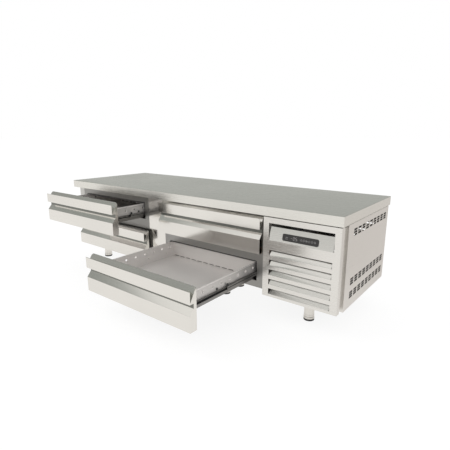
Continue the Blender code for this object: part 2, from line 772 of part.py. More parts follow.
def runner_rack(root, name, column, side):
    """Upright rack that holds the fixed runner members of one side of a bay."""
    outside, inside = rail_heights()[:2]
    edge = column_left(column) + OPENING_INSET + (OPENING_WIDTH if side > 0 else 0.0)
    back = edge + side * SHEET
    tip = edge - side * (SLIDE_SPACE - RAIL_TIP_CLEAR)
    outline = [(back, LINER_LOW + FIT_GAP), (edge, LINER_LOW + FIT_GAP)]
    for tier in range(2):
        centre = tier_low(tier) + SLIDE_CENTRE
        for low, high in ((centre - outside, centre - inside), (centre + inside, centre + outside)):
            outline += [(edge, low), (tip, low), (tip, high), (edge, high)]
    outline += [(edge, LINER_HIGH - FIT_GAP), (back, LINER_HIGH - FIT_GAP)]
    item = section(name, "Y", [outline], SLIDE_START, SLIDE_START + SLIDE_LENGTH)
    complete(item, DULL_STEEL, root)


def drawer(root, place, column, tier, open_share):
    """One drawer with its front, gasket, box and the middle members of its runners."""
    opened = SLIDE_LENGTH * open_share
    spot = (column_left(column), -opened, tier_low(tier))
    carrier = anchor("drawer_" + place + "_axis", root, spot)
    drawer_front(carrier, "drawer_front_" + place)
    drawer_gasket(carrier, "drawer_gasket_" + place)
    drawer_box(carrier, "drawer_box_" + place)
    spot = (column_left(column), -opened / 2, tier_low(tier))
    middle = anchor("runner_" + place + "_axis", root, spot)
    runner_middle(middle, "runner_middle_" + place + "_l", -1)
    runner_middle(middle, "runner_middle_" + place + "_r", 1)


def louvre_levels():
    """Lowest and highest level of each louvre's window."""
    levels = []
    for louvre in range(LOUVRE_COUNT):
        share = LOUVRE_FIRST_SHARE + louvre * LOUVRE_PITCH_SHARE
        low = LEG_CLEARANCE + BODY_HEIGHT * share
        levels.append((low, low + BODY_HEIGHT * LOUVRE_HEIGHT_SHARE))
    return levels


def panel_windows(front, back):
    """Windows in the machine compartment's front panel, for the control plate and the louvres."""
    low = (PANEL_LEFT + CONTROL_SIDE, front, CONTROL_LOW)
    spans = [(low, (PANEL_RIGHT - CONTROL_SIDE, back, CONTROL_HIGH))]
    for low, high in louvre_levels():
        corner = (PANEL_RIGHT - LOUVRE_SIDE, back, high)
        spans.append(((PANEL_LEFT + LOUVRE_SIDE, front, low), corner))
    return spans


def slat_outline(low, high):
    """Side view of a sloping slat that grows out of the panel below its window."""
    front = PANEL_SETBACK
    return [
        (front, low - SHEET),
        (front + SHEET, low - SHEET),
        (front + SHEET, low),
        (front + SLAT_DEPTH + SHEET, high),
        (front + SLAT_DEPTH, high),
        (front, low),
    ]


def tech_panel(root):
    """Front panel of the machine compartment, with a sloping control plate and louvres."""
    low = LEG_CLEARANCE + PANEL_LOW_GAP
    high = WORKTOP_UNDERSIDE - PANEL_TOP_GAP
    rim_back = PANEL_SETBACK + PANEL_RIM_DEPTH
    item = boxes("tech_panel", [((PANEL_LEFT, PANEL_SETBACK, low), (PANEL_RIGHT, rim_back, high))])
    rim = PANEL_RIM_WIDTH
    face_back = PANEL_SETBACK + SHEET
    collar_low = (PANEL_LEFT + rim, face_back, low + rim)
    collar_high = (PANEL_RIGHT - rim, SIDE_FRONT - FIT_GAP, high - rim)
    join(item, boxes("collar", [(collar_low, collar_high)]))
    inner = rim + SHEET
    hollow_low = (PANEL_LEFT + inner, face_back, low + inner)
    hollow_high = (PANEL_RIGHT - inner, SIDE_FRONT + OVERRUN, high - inner)
    cut(item, boxes("panel_hollow", [(hollow_low, hollow_high)]))
    cut(item, boxes("windows", panel_windows(PANEL_SETBACK - OVERRUN, face_back + OVERRUN)))
    side = LOUVRE_SIDE + SLAT_END_GAP
    for slat_low, slat_high in louvre_levels():
        top = slat_low + (slat_high - slat_low) * SLAT_TOP_SHARE
        outline = slat_outline(slat_low, top)
        join(item, section("slat", "X", [outline], PANEL_LEFT + side, PANEL_RIGHT - side))
    outline = slat_outline(CONTROL_LOW, CONTROL_LOW + CONTROL_RISE)
    side = CONTROL_SIDE + SLAT_END_GAP
    join(item, section("control_plate", "X", [outline], PANEL_LEFT + side, PANEL_RIGHT - side))
    cut(item, controller_body("controller_cutout", FIT_GAP, OVERRUN))
    complete(item, STEEL, root)


def lay_on_slope(item):
    """Move a solid drawn upright at the origin onto the sloping control plate."""
    rise = CONTROL_RISE * CONTROLLER_UP_SHARE
    item.rotation_euler = (-CONTROL_SLOPE, 0.0, 0.0)
    item.location = (
        (PANEL_LEFT + PANEL_RIGHT - CONTROLLER_WIDTH) / 2,
        PANEL_SETBACK + rise * math.sin(CONTROL_SLOPE),
        CONTROL_LOW + rise * math.cos(CONTROL_SLOPE),
    )
    return settle(item)


def controller_body(name, gap, front):
    """The part of the controller that passes through the control plate."""
    side = CONTROLLER_BACK_INSET - gap
    end = CONTROLLER_BACK_INSET / 2 - gap
    high = (CONTROLLER_WIDTH - side, CONTROLLER_DEPTH, CONTROLLER_HEIGHT - end)
    return lay_on_slope(boxes(name, [((side, -front, end), high)]))


def controller(root):
    """Controller with its display's bezel in front of the control plate."""
    item = controller_body("controller", 0.0, CONTROLLER_PROUD / 2)
    high = (CONTROLLER_WIDTH, -FIT_GAP, CONTROLLER_HEIGHT)
    join(item, lay_on_slope(boxes("bezel", [((0.0, -CONTROLLER_PROUD, 0.0), high)])))
    complete(item, BLACK_PLASTIC, root)


def vent_band(share):
    """Groups of short slots, one above another, along the side panel."""
    start = SIDE_FRONT + VENT_FRONT_MARGIN
    pitch = (BODY_BACK - VENT_BACK_MARGIN - start) / VENT_GROUPS
    half_height = BODY_HEIGHT * VENT_SLOT_HEIGHT_SHARE / 2
    outlines = []
    for group in range(VENT_GROUPS):
        y = start + group * pitch
        for row in range(VENT_ROWS):
            rise = share + (row - (VENT_ROWS - 1) / 2) * VENT_ROW_PITCH_SHARE
            middle = LEG_CLEARANCE + BODY_HEIGHT * rise
            far = y + pitch * VENT_SLOT_SHARE
            outlines.append(rectangle(y, middle - half_height, far, middle + half_height))
    return outlines


def side_panel(root):
    """Right end panel with vent bands and folded returns on all four edges."""
    outline = rectangle(SIDE_FRONT, LEG_CLEARANCE, BODY_BACK, BODY_TOP)
    holes = vent_band(VENT_LOW_SHARE) + vent_band(VENT_MID_SHARE) + vent_band(VENT_TOP_SHARE)
    item = section("side_panel", "X", [outline] + holes, WIDTH - SHEET, WIDTH)
    inner = rectangle(SIDE_FRONT + SHEET, LEG_CLEARANCE + SHEET, BODY_BACK - SHEET, BODY_TOP - SHEET)
    returns = section("returns", "X", [outline, inner], WIDTH - SIDE_RETURN, WIDTH - SHEET / 2)
    join(item, returns)
    complete(item, STEEL, root)


def base_tray(root):
    """Shallow tray that carries the machinery, on the side panel's lower return."""
    low = (PARTITION_X + FIT_GAP, SIDE_FRONT + SHEET + FIT_GAP, TRAY_LEVEL)
    high = (WIDTH - SHEET - FIT_GAP, BODY_BACK - SHEET - FIT_GAP, TRAY_LEVEL + TRAY_LIP)
    item = boxes("base_tray", [(low, high)])
    hollow_low = [side + SHEET for side in low]
    hollow_high = (high[0] - SHEET, high[1] - SHEET, high[2] + OVERRUN)
    cut(item, boxes("tray_hollow", [(hollow_low, hollow_high)]))
    complete(item, DULL_STEEL, root)


def gland_place():
    x = PARTITION_X + GLAND_INSET
    return x, LEG_CLEARANCE + GLAND_UP


def rear_grille(root):
    """Back panel of the machine compartment, with rows of air slots and the gland's hole."""
    left = PARTITION_X + FIT_GAP
    right = WIDTH - SIDE_RETURN - FIT_GAP
    pitch = (right - left - 2 * GRILLE_SIDE_MARGIN) / GRILLE_COLUMNS
    length = pitch * GRILLE_SLOT_SHARE
    height = BODY_HEIGHT * GRILLE_SLOT_HEIGHT_SHARE
    holes = []
    for row in range(GRILLE_ROWS):
        z = LEG_CLEARANCE + BODY_HEIGHT * (GRILLE_LOW_SHARE + row * GRILLE_ROW_PITCH_SHARE)
        for column in range(GRILLE_COLUMNS):
            x = left + GRILLE_SIDE_MARGIN + column * pitch + (pitch - length) / 2
            holes.append(rectangle(x, z, x + length, z + height))
    x, z = gland_place()
    holes.append(circle(x, z, GLAND_STEM_RADIUS + FIT_GAP, ROUND_SEGMENTS))
    outline = rectangle(left, TRAY_LEVEL, right, BODY_TOP)
    item = section("rear_grille", "Y", [outline] + holes, BODY_BACK - SHEET, BODY_BACK)
    complete(item, STEEL, root)


def mains_gland(root):
    """Cable gland through the rear grille, with its bore left open."""
    x, z = gland_place()
    nut_start = BODY_BACK + FIT_GAP
    stem = circle(x, z, GLAND_STEM_RADIUS, ROUND_SEGMENTS)
    bore = circle(x, z, GLAND_BORE, ROUND_SEGMENTS)
    item = section("mains_gland", "Y", [stem, bore], nut_start - GLAND_STEM_LENGTH, nut_start + SHEET)
    nut = circle(x, z, GLAND_NUT_RADIUS, SMALL_ROUND_SEGMENTS)
    join(item, section("nut", "Y", [nut, bore], nut_start, nut_start + GLAND_NUT_LENGTH))
    complete(item, BLACK_PLASTIC, root, smooth=True)


def compressor(root):
    """Hermetic compressor: a domed pot on a footplate."""
    low = TRAY_FLOOR
    radius = COMPRESSOR_RADIUS
    height = COMPRESSOR_HEIGHT
    lift = COMPRESSOR_SKIRT_LIFT
    dome = radius / 2
    profile = [(0.0, 0.0), (radius - lift, 0.0), (radius, lift), (radius, height - dome)]
    for step in range(1, 4):
        angle = step * math.pi / 8
        profile.append((radius * math.cos(angle), height - dome + dome * math.sin(angle)))
    profile.append((0.0, height))
    item = turned("compressor", profile, (COMPRESSOR_X, COMPRESSOR_Y, low), ROUND_SEGMENTS)
    half_width = COMPRESSOR_FOOT / 2
    half_depth = COMPRESSOR_FOOT_DEPTH / 2
    foot_low = (COMPRESSOR_X - half_width, COMPRESSOR_Y - half_depth, low)
    foot_high = (COMPRESSOR_X + half_width, COMPRESSOR_Y + half_depth, low + COMPRESSOR_FOOT_THICKNESS)
    join(item, boxes("footplate", [(foot_low, foot_high)]))
    complete(item, BLACK_PAINT, root, smooth=True)


def finned_coil(name, along, run, across, fins, low, high):
    """A coil block: a spine with fins on both sides, extruded upright."""
    first, last = along
    centre = (across[0] + across[1]) / 2
    near_spine = centre - COIL_SPINE / 2
    pitch = (last - first - FIN_THICKNESS) / (fins - 1)
    near = []
    for fin in range(fins):
        start = first + fin * pitch
        end = start + FIN_THICKNESS
        near += [(start, near_spine), (start, across[0]), (end, across[0]), (end, near_spine)]
    far = [(place, 2 * centre - side) for place, side in reversed(near)]
    points = near[1:-1] + far[1:-1]
    if run == "Y":
        points = [(side, place) for place, side in points]
    return section(name, "Z", [points], low, high)


def condenser_coil(root):
    across = (CONDENSER_FRONT, CONDENSER_FRONT + CONDENSER_DEPTH)
    along = (CONDENSER_LEFT, CONDENSER_LEFT + CONDENSER_WIDTH)
    top = TRAY_FLOOR + CONDENSER_HEIGHT
    item = finned_coil("condenser_coil", along, "X", across, CONDENSER_FINS, TRAY_FLOOR, top)
    complete(item, ALUMINIUM, root)


def fan_frame(name, across, up, front, depth, radius):
    """Plate with a round opening, and a motor on four arms behind it."""
    x = (across[0] + across[1]) / 2
    z = (up[0] + up[1]) / 2
    opening = circle(x, z, radius + FAN_TIP_CLEAR, ROUND_SEGMENTS)
    plate = rectangle(across[0], up[0], across[1], up[1])
    back = front + depth
    item = section(name, "Y", [plate, opening], front, back)
    arm = MOTOR_ARM_WIDTH / 2
    reach = radius + FAN_TIP_CLEAR + arm
    arms_front = back - MOTOR_ARM_THICKNESS
    arms = [
        ((x - reach, arms_front, z - arm), (x + reach, back + MOTOR_ARM_THICKNESS, z + arm)),
        ((x - arm, arms_front, z - reach), (x + arm, back + MOTOR_ARM_THICKNESS, z + reach)),
    ]
    for span in arms:
        join(item, boxes("arm", [span]))
    motor = circle(x, z, MOTOR_RADIUS, ROUND_SEGMENTS)
    join(item, section("motor", "Y", [motor], arms_front - SHEET, back + MOTOR_LENGTH))
    shaft = circle(x, z, MOTOR_SHAFT_RADIUS, SMALL_ROUND_SEGMENTS)
    join(item, section("shaft", "Y", [shaft], fan_middle(back), back))
    complete(item, DARK_STEEL, None)
    return item, (x, fan_middle(back), z)


def fan_middle(frame_back):
    """Where the fan wheel's middle lies, in front of the arms at the back of its frame."""
    return frame_back - MOTOR_ARM_THICKNESS - FAN_MOTOR_CLEAR - FAN_HUB_LENGTH / 2


def fan_blade(radius):
    """One swept and pitched blade, from inside the hub to the tip."""
    shape = bmesh.new()
    steps = 4
    corners = []
    root_radius = FAN_HUB_RADIUS - FAN_BLADE_THICKNESS
    half_thickness = FAN_BLADE_THICKNESS / 2
    chord_slope = math.tan(FAN_BLADE_PITCH_ANGLE)
    for reach in (root_radius, radius):
        for step in range(steps + 1):
            angle = (step / steps - 1 / 2) * FAN_BLADE_SWEEP
            height = angle * root_radius * chord_slope
            for side in (-half_thickness, half_thickness):
                x = reach * math.cos(angle)
                y = reach * math.sin(angle)
                corners.append(shape.verts.new((x, y, height + side)))
    row = 2 * (steps + 1)
    faces = [(0, 2, row + 2, row), (1, row + 1, row + 3, 3), (0, 1, 3, 2), (row, row + 2, row + 3, row + 1)]
    for step in range(steps):
        for face in faces:
            shape.faces.new([corners[2 * step + i] for i in face])
    for first in (0, row - 2):
        shape.faces.new([corners[i] for i in (first, row + first, row + first + 1, first + 1)])
    return link_mesh("blade", shape)


def fan(root, name, middle, radius):
    """Bladed wheel on the motor's shaft, with its origin on the shaft."""
    carrier = anchor(name + "_axis", root, middle)
    half = FAN_HUB_LENGTH / 2
    bore = MOTOR_SHAFT_RADIUS + FIT_GAP
    hub = [(bore, -half), (FAN_HUB_RADIUS, -half), (FAN_HUB_RADIUS, half), (bore, half)]
    item = turned(name, hub, (0.0, 0.0, 0.0), SMALL_ROUND_SEGMENTS)
    for blade_index in range(FAN_BLADES):
        blade = fan_blade(radius)
        blade.rotation_euler = (0.0, 0.0, blade_index * 2 * math.pi / FAN_BLADES)
        join(item, settle(blade))
    item.rotation_euler = (-math.pi / 2, 0.0, 0.0)
    settle(item)
    complete(item, GREY_PLASTIC, carrier, smooth=True)


def condenser_group(root):
    """Condenser coil with its fan behind it."""
    condenser_coil(root)
    across = (CONDENSER_LEFT, CONDENSER_LEFT + CONDENSER_WIDTH)
    up = (TRAY_FLOOR, TRAY_FLOOR + CONDENSER_HEIGHT)
    front = CONDENSER_FRONT + CONDENSER_DEPTH + FIT_GAP
    radius = CONDENSER_HEIGHT * CONDENSER_FAN_SHARE / 2
    shroud, middle = fan_frame("condenser_fan_shroud", across, up, front, SHROUD_DEPTH, radius)
    shroud.parent = root
    fan(root, "condenser_fan", middle, radius)


def bent_path(points, bend):
    """The given corner points with each inner corner replaced by a short arc."""
    path = [Vector(points[0])]
    for before, corner, after in zip(points, points[1:], points[2:]):
        corner = Vector(corner)
        inwards = (corner - Vector(before)).normalized()
        outwards = (Vector(after) - corner).normalized()
        centre = corner - inwards * bend + outwards * bend
        for step in range(PIPE_BEND_STEPS + 1):
            angle = step / PIPE_BEND_STEPS * math.pi / 2
            path.append(centre - outwards * bend * math.cos(angle) + inwards * bend * math.sin(angle))
    path.append(Vector(points[-1]))
    return path


def tube(name, path, side, radius):
    """A round bar along a path that stays in the plane square to the side direction."""
    shape = bmesh.new()
    rings = []
    for index, point in enumerate(path):
        before = path[max(index - 1, 0)]
        after = path[min(index + 1, len(path) - 1)]
        across = side.cross((after - before).normalized())
        ring = []
        for turn_across, turn_side in circle(0.0, 0.0, radius, PIPE_SEGMENTS):
            ring.append(shape.verts.new(point + across * turn_across + side * turn_side))
        rings.append(ring)
    for first, second in zip(rings, rings[1:]):
        join_rings(shape, first, second, PIPE_SEGMENTS)
    shape.faces.new(rings[0])
    shape.faces.new(rings[-1])
    return link_mesh(name, shape)


def discharge_pipe(root):
    """Pipe from the compressor's side over the fan shroud and down to the condenser coil."""
    start = COMPRESSOR_Y - COMPRESSOR_RADIUS - FIT_GAP
    low = TRAY_FLOOR + COMPRESSOR_HEIGHT * PIPE_UP_SHARE
    coil_top = TRAY_FLOOR + CONDENSER_HEIGHT
    high = coil_top + PIPE_OVER_COIL
    coil_y = CONDENSER_FRONT + CONDENSER_DEPTH / 2
    corners = [
        (COMPRESSOR_X, start, low),
        (COMPRESSOR_X, start - PIPE_REACH, low),
        (COMPRESSOR_X, start - PIPE_REACH, high),
        (COMPRESSOR_X, coil_y, high),
        (COMPRESSOR_X, coil_y, coil_top + FIT_GAP),
    ]
    item = tube("discharge_pipe", bent_path(corners, PIPE_BEND), Vector((1.0, 0.0, 0.0)), PIPE_RADIUS)
    complete(item, COPPER, root, smooth=True)


def electrical_box(root):
    """Closed box with the starting gear, on the partition."""
    left = PARTITION_X + FIT_GAP
    back = BODY_BACK - ELECTRIC_BACK_GAP
    top = WORKTOP_UNDERSIDE - ELECTRIC_TOP_GAP
    low = (left, back - ELECTRIC_DEPTH, top - ELECTRIC_HEIGHT)
    item = boxes("electrical_box", [(low, (left + ELECTRIC_WIDTH, back, top))])
    round_edges(item, ELECTRIC_ROUND)
    complete(item, GREY_PLASTIC, root)


def evaporator_group(root):
    """Drip tray, coil and fan in the pillar between the bays."""
    left = liner_sides(0)[1] + SHEET + TRAY_SIDE_GAP
    right = liner_sides(1)[0] - SHEET - TRAY_SIDE_GAP
    floor = LINER_LOW - SHEET
    front = LINER_FRONT + BAY_DEPTH * DRIP_TRAY_FRONT_SHARE
    back = front + BAY_DEPTH * DRIP_TRAY_LENGTH_SHARE
    tray = boxes("drip_tray", [((left, front, floor), (right, back, floor + DRIP_TRAY_DEPTH))])
    low = (left + SHEET, front + SHEET, floor + SHEET)
    high = (right - SHEET, back - SHEET, floor + DRIP_TRAY_DEPTH + OVERRUN)
    cut(tray, boxes("drip_hollow", [(low, high)]))
    complete(tray, DULL_STEEL, root)
    up = (floor + SHEET + FIT_GAP, floor + SHEET + FIT_GAP + BAY_HEIGHT * EVAPORATOR_HEIGHT_SHARE)
    across = (left + COIL_SIDE_GAP, right - COIL_SIDE_GAP)
    front += COIL_FRONT_GAP
    along = (front, front + BAY_DEPTH * EVAPORATOR_LENGTH_SHARE)
    coil = finned_coil("evaporator_coil", along, "Y", across, EVAPORATOR_FINS, *up)
    complete(coil, ALUMINIUM, root)
    radius = (across[1] - across[0]) * EVAPORATOR_FAN_SHARE / 2
    front = along[1] + FAN_FRAME_GAP
    frame, middle = fan_frame("evaporator_fan_frame", across, up, front, FAN_FRAME_DEPTH, radius)
    frame.parent = root
    fan(root, "evaporator_fan", middle, radius)


def leg(root, place, x, y, top):
    """Leg tube with a fixing flange, and the foot that screws into its lower end."""
    bottom = FOOT_HEIGHT + FIT_GAP
    length = top - bottom
    inner = LEG_RADIUS - LEG_WALL
    bush = FOOT_STEM_RADIUS + FIT_GAP
    profile = [
        (0.0, length),
        (LEG_FLANGE_RADIUS, length),
        (LEG_FLANGE_RADIUS, length - LEG_FLANGE_THICKNESS),
        (LEG_RADIUS, length - LEG_FLANGE_THICKNESS),
        (LEG_RADIUS, 0.0),
        (bush, 0.0),
        (bush, LEG_BUSH),
        (inner, LEG_BUSH),
        (inner, length - 2 * LEG_FLANGE_THICKNESS),
        (0.0, length - 2 * LEG_FLANGE_THICKNESS),
    ]
    tube = turned("leg_" + place, profile, (x, y, bottom), LEG_SEGMENTS)
    complete(tube, STEEL, root, smooth=True)
    carrier = anchor("foot_" + place + "_axis", root, (x, y, 0.0))
    stem_top = FOOT_HEIGHT + length * FOOT_STEM_SHARE
    profile = [
        (0.0, 0.0),
        (FOOT_RADIUS - FOOT_CHAMFER, 0.0),
        (FOOT_RADIUS, FOOT_CHAMFER),
        (FOOT_RADIUS, FOOT_HEIGHT),
        (FOOT_STEM_RADIUS, FOOT_HEIGHT),
        (FOOT_STEM_RADIUS, stem_top),
        (0.0, stem_top),
    ]
    foot = turned("foot_" + place, profile, (0.0, 0.0, 0.0), LEG_SEGMENTS)
    complete(foot, STEEL, carrier, smooth=True)


def legs(root):
    """Four legs under the body's ends, and two more near its middle."""
    body = BODY_BOTTOM - FIT_GAP
    tray = TRAY_LEVEL - FIT_GAP
    middle = column_left(1) + FRONT_WIDTH * LEG_MIDDLE_SHARE
    machine = PARTITION_X + MACHINE_WIDTH * LEG_MACHINE_SHARE
    back = BODY_BACK - LEG_BACK_INSET
    leg(root, "front_left", LEG_END_INSET, LEG_FRONT_INSET, body)
    leg(root, "back_left", LEG_END_INSET, back, body)
    leg(root, "front_middle", middle, LEG_FRONT_INSET, body)
    leg(root, "inner_middle", middle, LEG_INNER_INSET, body)
    leg(root, "front_right", machine, LEG_FRONT_INSET, tray)
    leg(root, "back_right", machine, back, tray)


def chef_base():
    clear_scene()
    root = anchor("chef_base", None, (-WIDTH / 2, -ROOT_Y, 0.0))
    worktop(root)
    outer_casing(root)
    insulation_foam(root)
    for column, place in enumerate(("left", "right")):
        bay_liner(root, "bay_liner_" + place, column)
        face_frame(root, "face_frame_" + place, column)
        runner_rack(root, "runner_rack_" + place + "_l", column, -1)
        runner_rack(root, "runner_rack_" + place + "_r", column, 1)
    mullion_cover(root)
    drawer(root, "upper_left", 0, 1, UPPER_LEFT_OPEN_SHARE)
    drawer(root, "lower_left", 0, 0, LOWER_LEFT_OPEN_SHARE)
    drawer(root, "upper_right", 1, 1, UPPER_RIGHT_OPEN_SHARE)
    drawer(root, "lower_right", 1, 0, LOWER_RIGHT_OPEN_SHARE)
    tech_panel(root)
    controller(root)
    side_panel(root)
    base_tray(root)
    rear_grille(root)
    mains_gland(root)
    compressor(root)
    condenser_group(root)
    discharge_pipe(root)
    electrical_box(root)
    evaporator_group(root)
    legs(root)


chef_base()
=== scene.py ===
# Looks of the refrigerated chef base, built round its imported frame.
# Lengths are in metres, and in millimetres in the profiles that add_lathe turns.
import math

import bmesh
import bpy
from mathutils import Matrix, Vector


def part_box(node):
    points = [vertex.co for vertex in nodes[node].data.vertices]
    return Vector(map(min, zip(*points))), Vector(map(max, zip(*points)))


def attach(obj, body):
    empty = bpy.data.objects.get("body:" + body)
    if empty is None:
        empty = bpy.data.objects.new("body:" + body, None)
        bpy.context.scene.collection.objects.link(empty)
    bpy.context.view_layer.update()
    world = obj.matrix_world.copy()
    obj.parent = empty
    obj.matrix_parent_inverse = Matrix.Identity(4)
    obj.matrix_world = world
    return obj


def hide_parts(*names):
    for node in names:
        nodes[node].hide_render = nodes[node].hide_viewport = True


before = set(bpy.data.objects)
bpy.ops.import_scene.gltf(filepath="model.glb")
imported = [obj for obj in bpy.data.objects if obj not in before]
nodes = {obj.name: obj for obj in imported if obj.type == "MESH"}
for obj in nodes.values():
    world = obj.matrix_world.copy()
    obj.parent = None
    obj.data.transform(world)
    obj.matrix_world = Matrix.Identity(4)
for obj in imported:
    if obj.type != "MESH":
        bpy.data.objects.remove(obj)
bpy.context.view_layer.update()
scene = bpy.context.scene
DRAWERS = ("upper_left", "lower_left", "upper_right", "lower_right")
LEGS = ("front_left", "back_left", "front_middle", "inner_middle", "front_right", "back_right")
HANDS = ((-1.0, "l"), (1.0, "r"))
WHITE = (1.0, 1.0, 1.0)

# Camera, fitted to the photograph
LENS = 30.57
SENSOR = 36.0
CLIP_RANGE = (0.05, 200.0)
CAMERA_PLACE = (1.6437, -1.67, 0.9615)
CAMERA_DOWN = 0.2371
CAMERA_TURN = 0.6644

# Lights: name, place, target, diameter, power, colour
LIGHTS = (
    ("key", (-1.6, -2.6, 3.2), (0.0, 0.0, 0.3), 2.2, 28.0, (1.0, 0.985, 0.96)),
    ("fill", (3.4, -1.2, 2.2), (0.2, 0.0, 0.3), 2.0, 12.0, WHITE),
    ("back", (0.0, 3.2, 2.6), (0.0, 0.2, 0.4), 2.0, 12.0, WHITE),
)

# What the steel mirrors: a sky toned by height, with one bright panel high in front
SKY_STOPS = (
    (0.000, (0.92, 0.91, 0.88)),
    (0.03, (0.8, 0.8, 0.77)),
    (0.09, (0.6, 0.61, 0.585)),
    (0.18, (0.445, 0.455, 0.43)),
    (0.33, (0.345, 0.355, 0.335)),
    (0.55, (0.315, 0.335, 0.312)),
    (0.7, (0.3, 0.32, 0.297)),
    (0.8, (0.2, 0.215, 0.198)),
    (1.000, (0.26, 0.27, 0.255)),
)
PANEL_COLOUR = (0.92, 0.91, 0.88)
PANEL_FRONT_EDGE = (-0.36, -0.388)
PANEL_LOWER_EDGE = (0.466, 0.488)
ROOM_COLOUR = (0.8, 0.8, 0.8)

# Floor
FLOOR_REACH = 60.0
FLOOR_MATT = (0.9, 0.9, 0.9)
FLOOR_SEEN = (1.08, 1.08, 1.08)
FLOOR_MIRRORED = ((0.0, (0.97, 0.95, 0.915)), (1.0, (0.7, 0.66, 0.62)))
FLOOR_FADE = (0.2, 1.6)
FLOOR_FADE_SLANT = 0.45
FLOOR_GLOW_SHARE = 0.8


# ---- node helpers
def math_node(tree, operation, first, second):
    """Sum, product or the like of two sockets or numbers."""
    node = tree.nodes.new("ShaderNodeMath")
    node.operation = operation
    for socket, value in zip(node.inputs, (first, second)):
        if isinstance(value, float):
            socket.default_value = value
        else:
            tree.links.new(value, socket)
    return node.outputs[0]


def blend(tree, first, second, shares):
    """Weighted sum of two sockets."""
    parts = [math_node(tree, "MULTIPLY", value, share) for value, share in zip((first, second), shares)]
    return math_node(tree, "ADD", *parts)


def mix_colour(tree, factor, first, second):
    """Blend of two colours or sockets."""
    node = tree.nodes.new("ShaderNodeMix")
    node.data_type = "RGBA"
    tree.links.new(factor, node.inputs["Factor"])
    for name, value in (("A", first), ("B", second)):
        if isinstance(value, tuple):
            node.inputs[name].default_value = (*value, 1.0)
        else:
            tree.links.new(value, node.inputs[name])
    return node.outputs["Result"]


def ramp_node(tree, factor, stops):
    """Colour ramp through (position, colour) stops."""
    node = tree.nodes.new("ShaderNodeValToRGB")
    elements = node.color_ramp.elements
    while len(elements) < len(stops):
        elements.new(0.5)
    for element, (place, colour) in zip(elements, stops):
        element.position = place
        element.color = (*colour, 1.0)
    tree.links.new(factor, node.inputs[0])
    return node.outputs[0]


def map_range(tree, value, start, end, low=0.0, high=1.0, kind="LINEAR"):
    """Value from start to end, spread from low to high."""
    node = tree.nodes.new("ShaderNodeMapRange")
    node.interpolation_type = kind
    for name, number in (("From Min", start), ("From Max", end), ("To Min", low), ("To Max", high)):
        node.inputs[name].default_value = number
    tree.links.new(value, node.inputs["Value"])
    return node.outputs[0]


def separate(tree, coordinates):
    """X, Y and Z of one kind of texture coordinates."""
    split = tree.nodes.new("ShaderNodeSeparateXYZ")
    tree.links.new(tree.nodes.new("ShaderNodeTexCoord").outputs[coordinates], split.inputs[0])
    return split.outputs


# ---- camera, light and floor
def put(name, data):
    """Object in the scene."""
    item = bpy.data.objects.new(name, data)
    scene.collection.objects.link(item)
    return item


def make_camera():
    """Camera at the photograph's place and angle."""
    data = bpy.data.cameras.new("camera")
    data.lens = LENS
    data.sensor_width = SENSOR
    data.clip_start, data.clip_end = CLIP_RANGE
    camera = put("camera", data)
    camera.location = CAMERA_PLACE
    camera.rotation_euler = (math.pi / 2 - CAMERA_DOWN, 0.0, CAMERA_TURN)
    scene.camera = camera


def area_light(name, place, target, size, power, colour):
    """Round soft lamp that steel doesn't mirror."""
    data = bpy.data.lights.new(name, "AREA")
    data.shape = "DISK"
    data.size = size
    data.energy = power
    data.color = colour
    light = put(name, data)
    light.location = place
    aim = Vector(target) - Vector(place)
    light.rotation_euler = aim.to_track_quat("-Z", "Y").to_euler()
    light.visible_glossy = False


def make_world():
    """White to the camera, grey to matt surfaces, and the sky with its panel to steel."""
    world = bpy.data.worlds.new("studio")
    world.use_nodes = True
    scene.world = world
    tree = world.node_tree
    tree.nodes.clear()
    direction = separate(tree, "Generated")
    front = map_range(tree, direction[1], *PANEL_FRONT_EDGE, kind="SMOOTHSTEP")
    above = map_range(tree, direction[2], *PANEL_LOWER_EDGE, kind="SMOOTHSTEP")
    panel = math_node(tree, "MULTIPLY", front, above)
    mirrored = mix_colour(tree, panel, ramp_node(tree, direction[2], SKY_STOPS), PANEL_COLOUR)
    path = tree.nodes.new("ShaderNodeLightPath").outputs
    seen = math_node(tree, "MAXIMUM", path["Is Camera Ray"], path["Is Transmission Ray"])
    room = mix_colour(tree, path["Is Glossy Ray"], ROOM_COLOUR, mirrored)
    background = tree.nodes.new("ShaderNodeBackground")
    tree.links.new(mix_colour(tree, seen, room, WHITE), background.inputs["Color"])
    tree.links.new(background.outputs[0], tree.nodes.new("ShaderNodeOutputWorld").inputs[0])


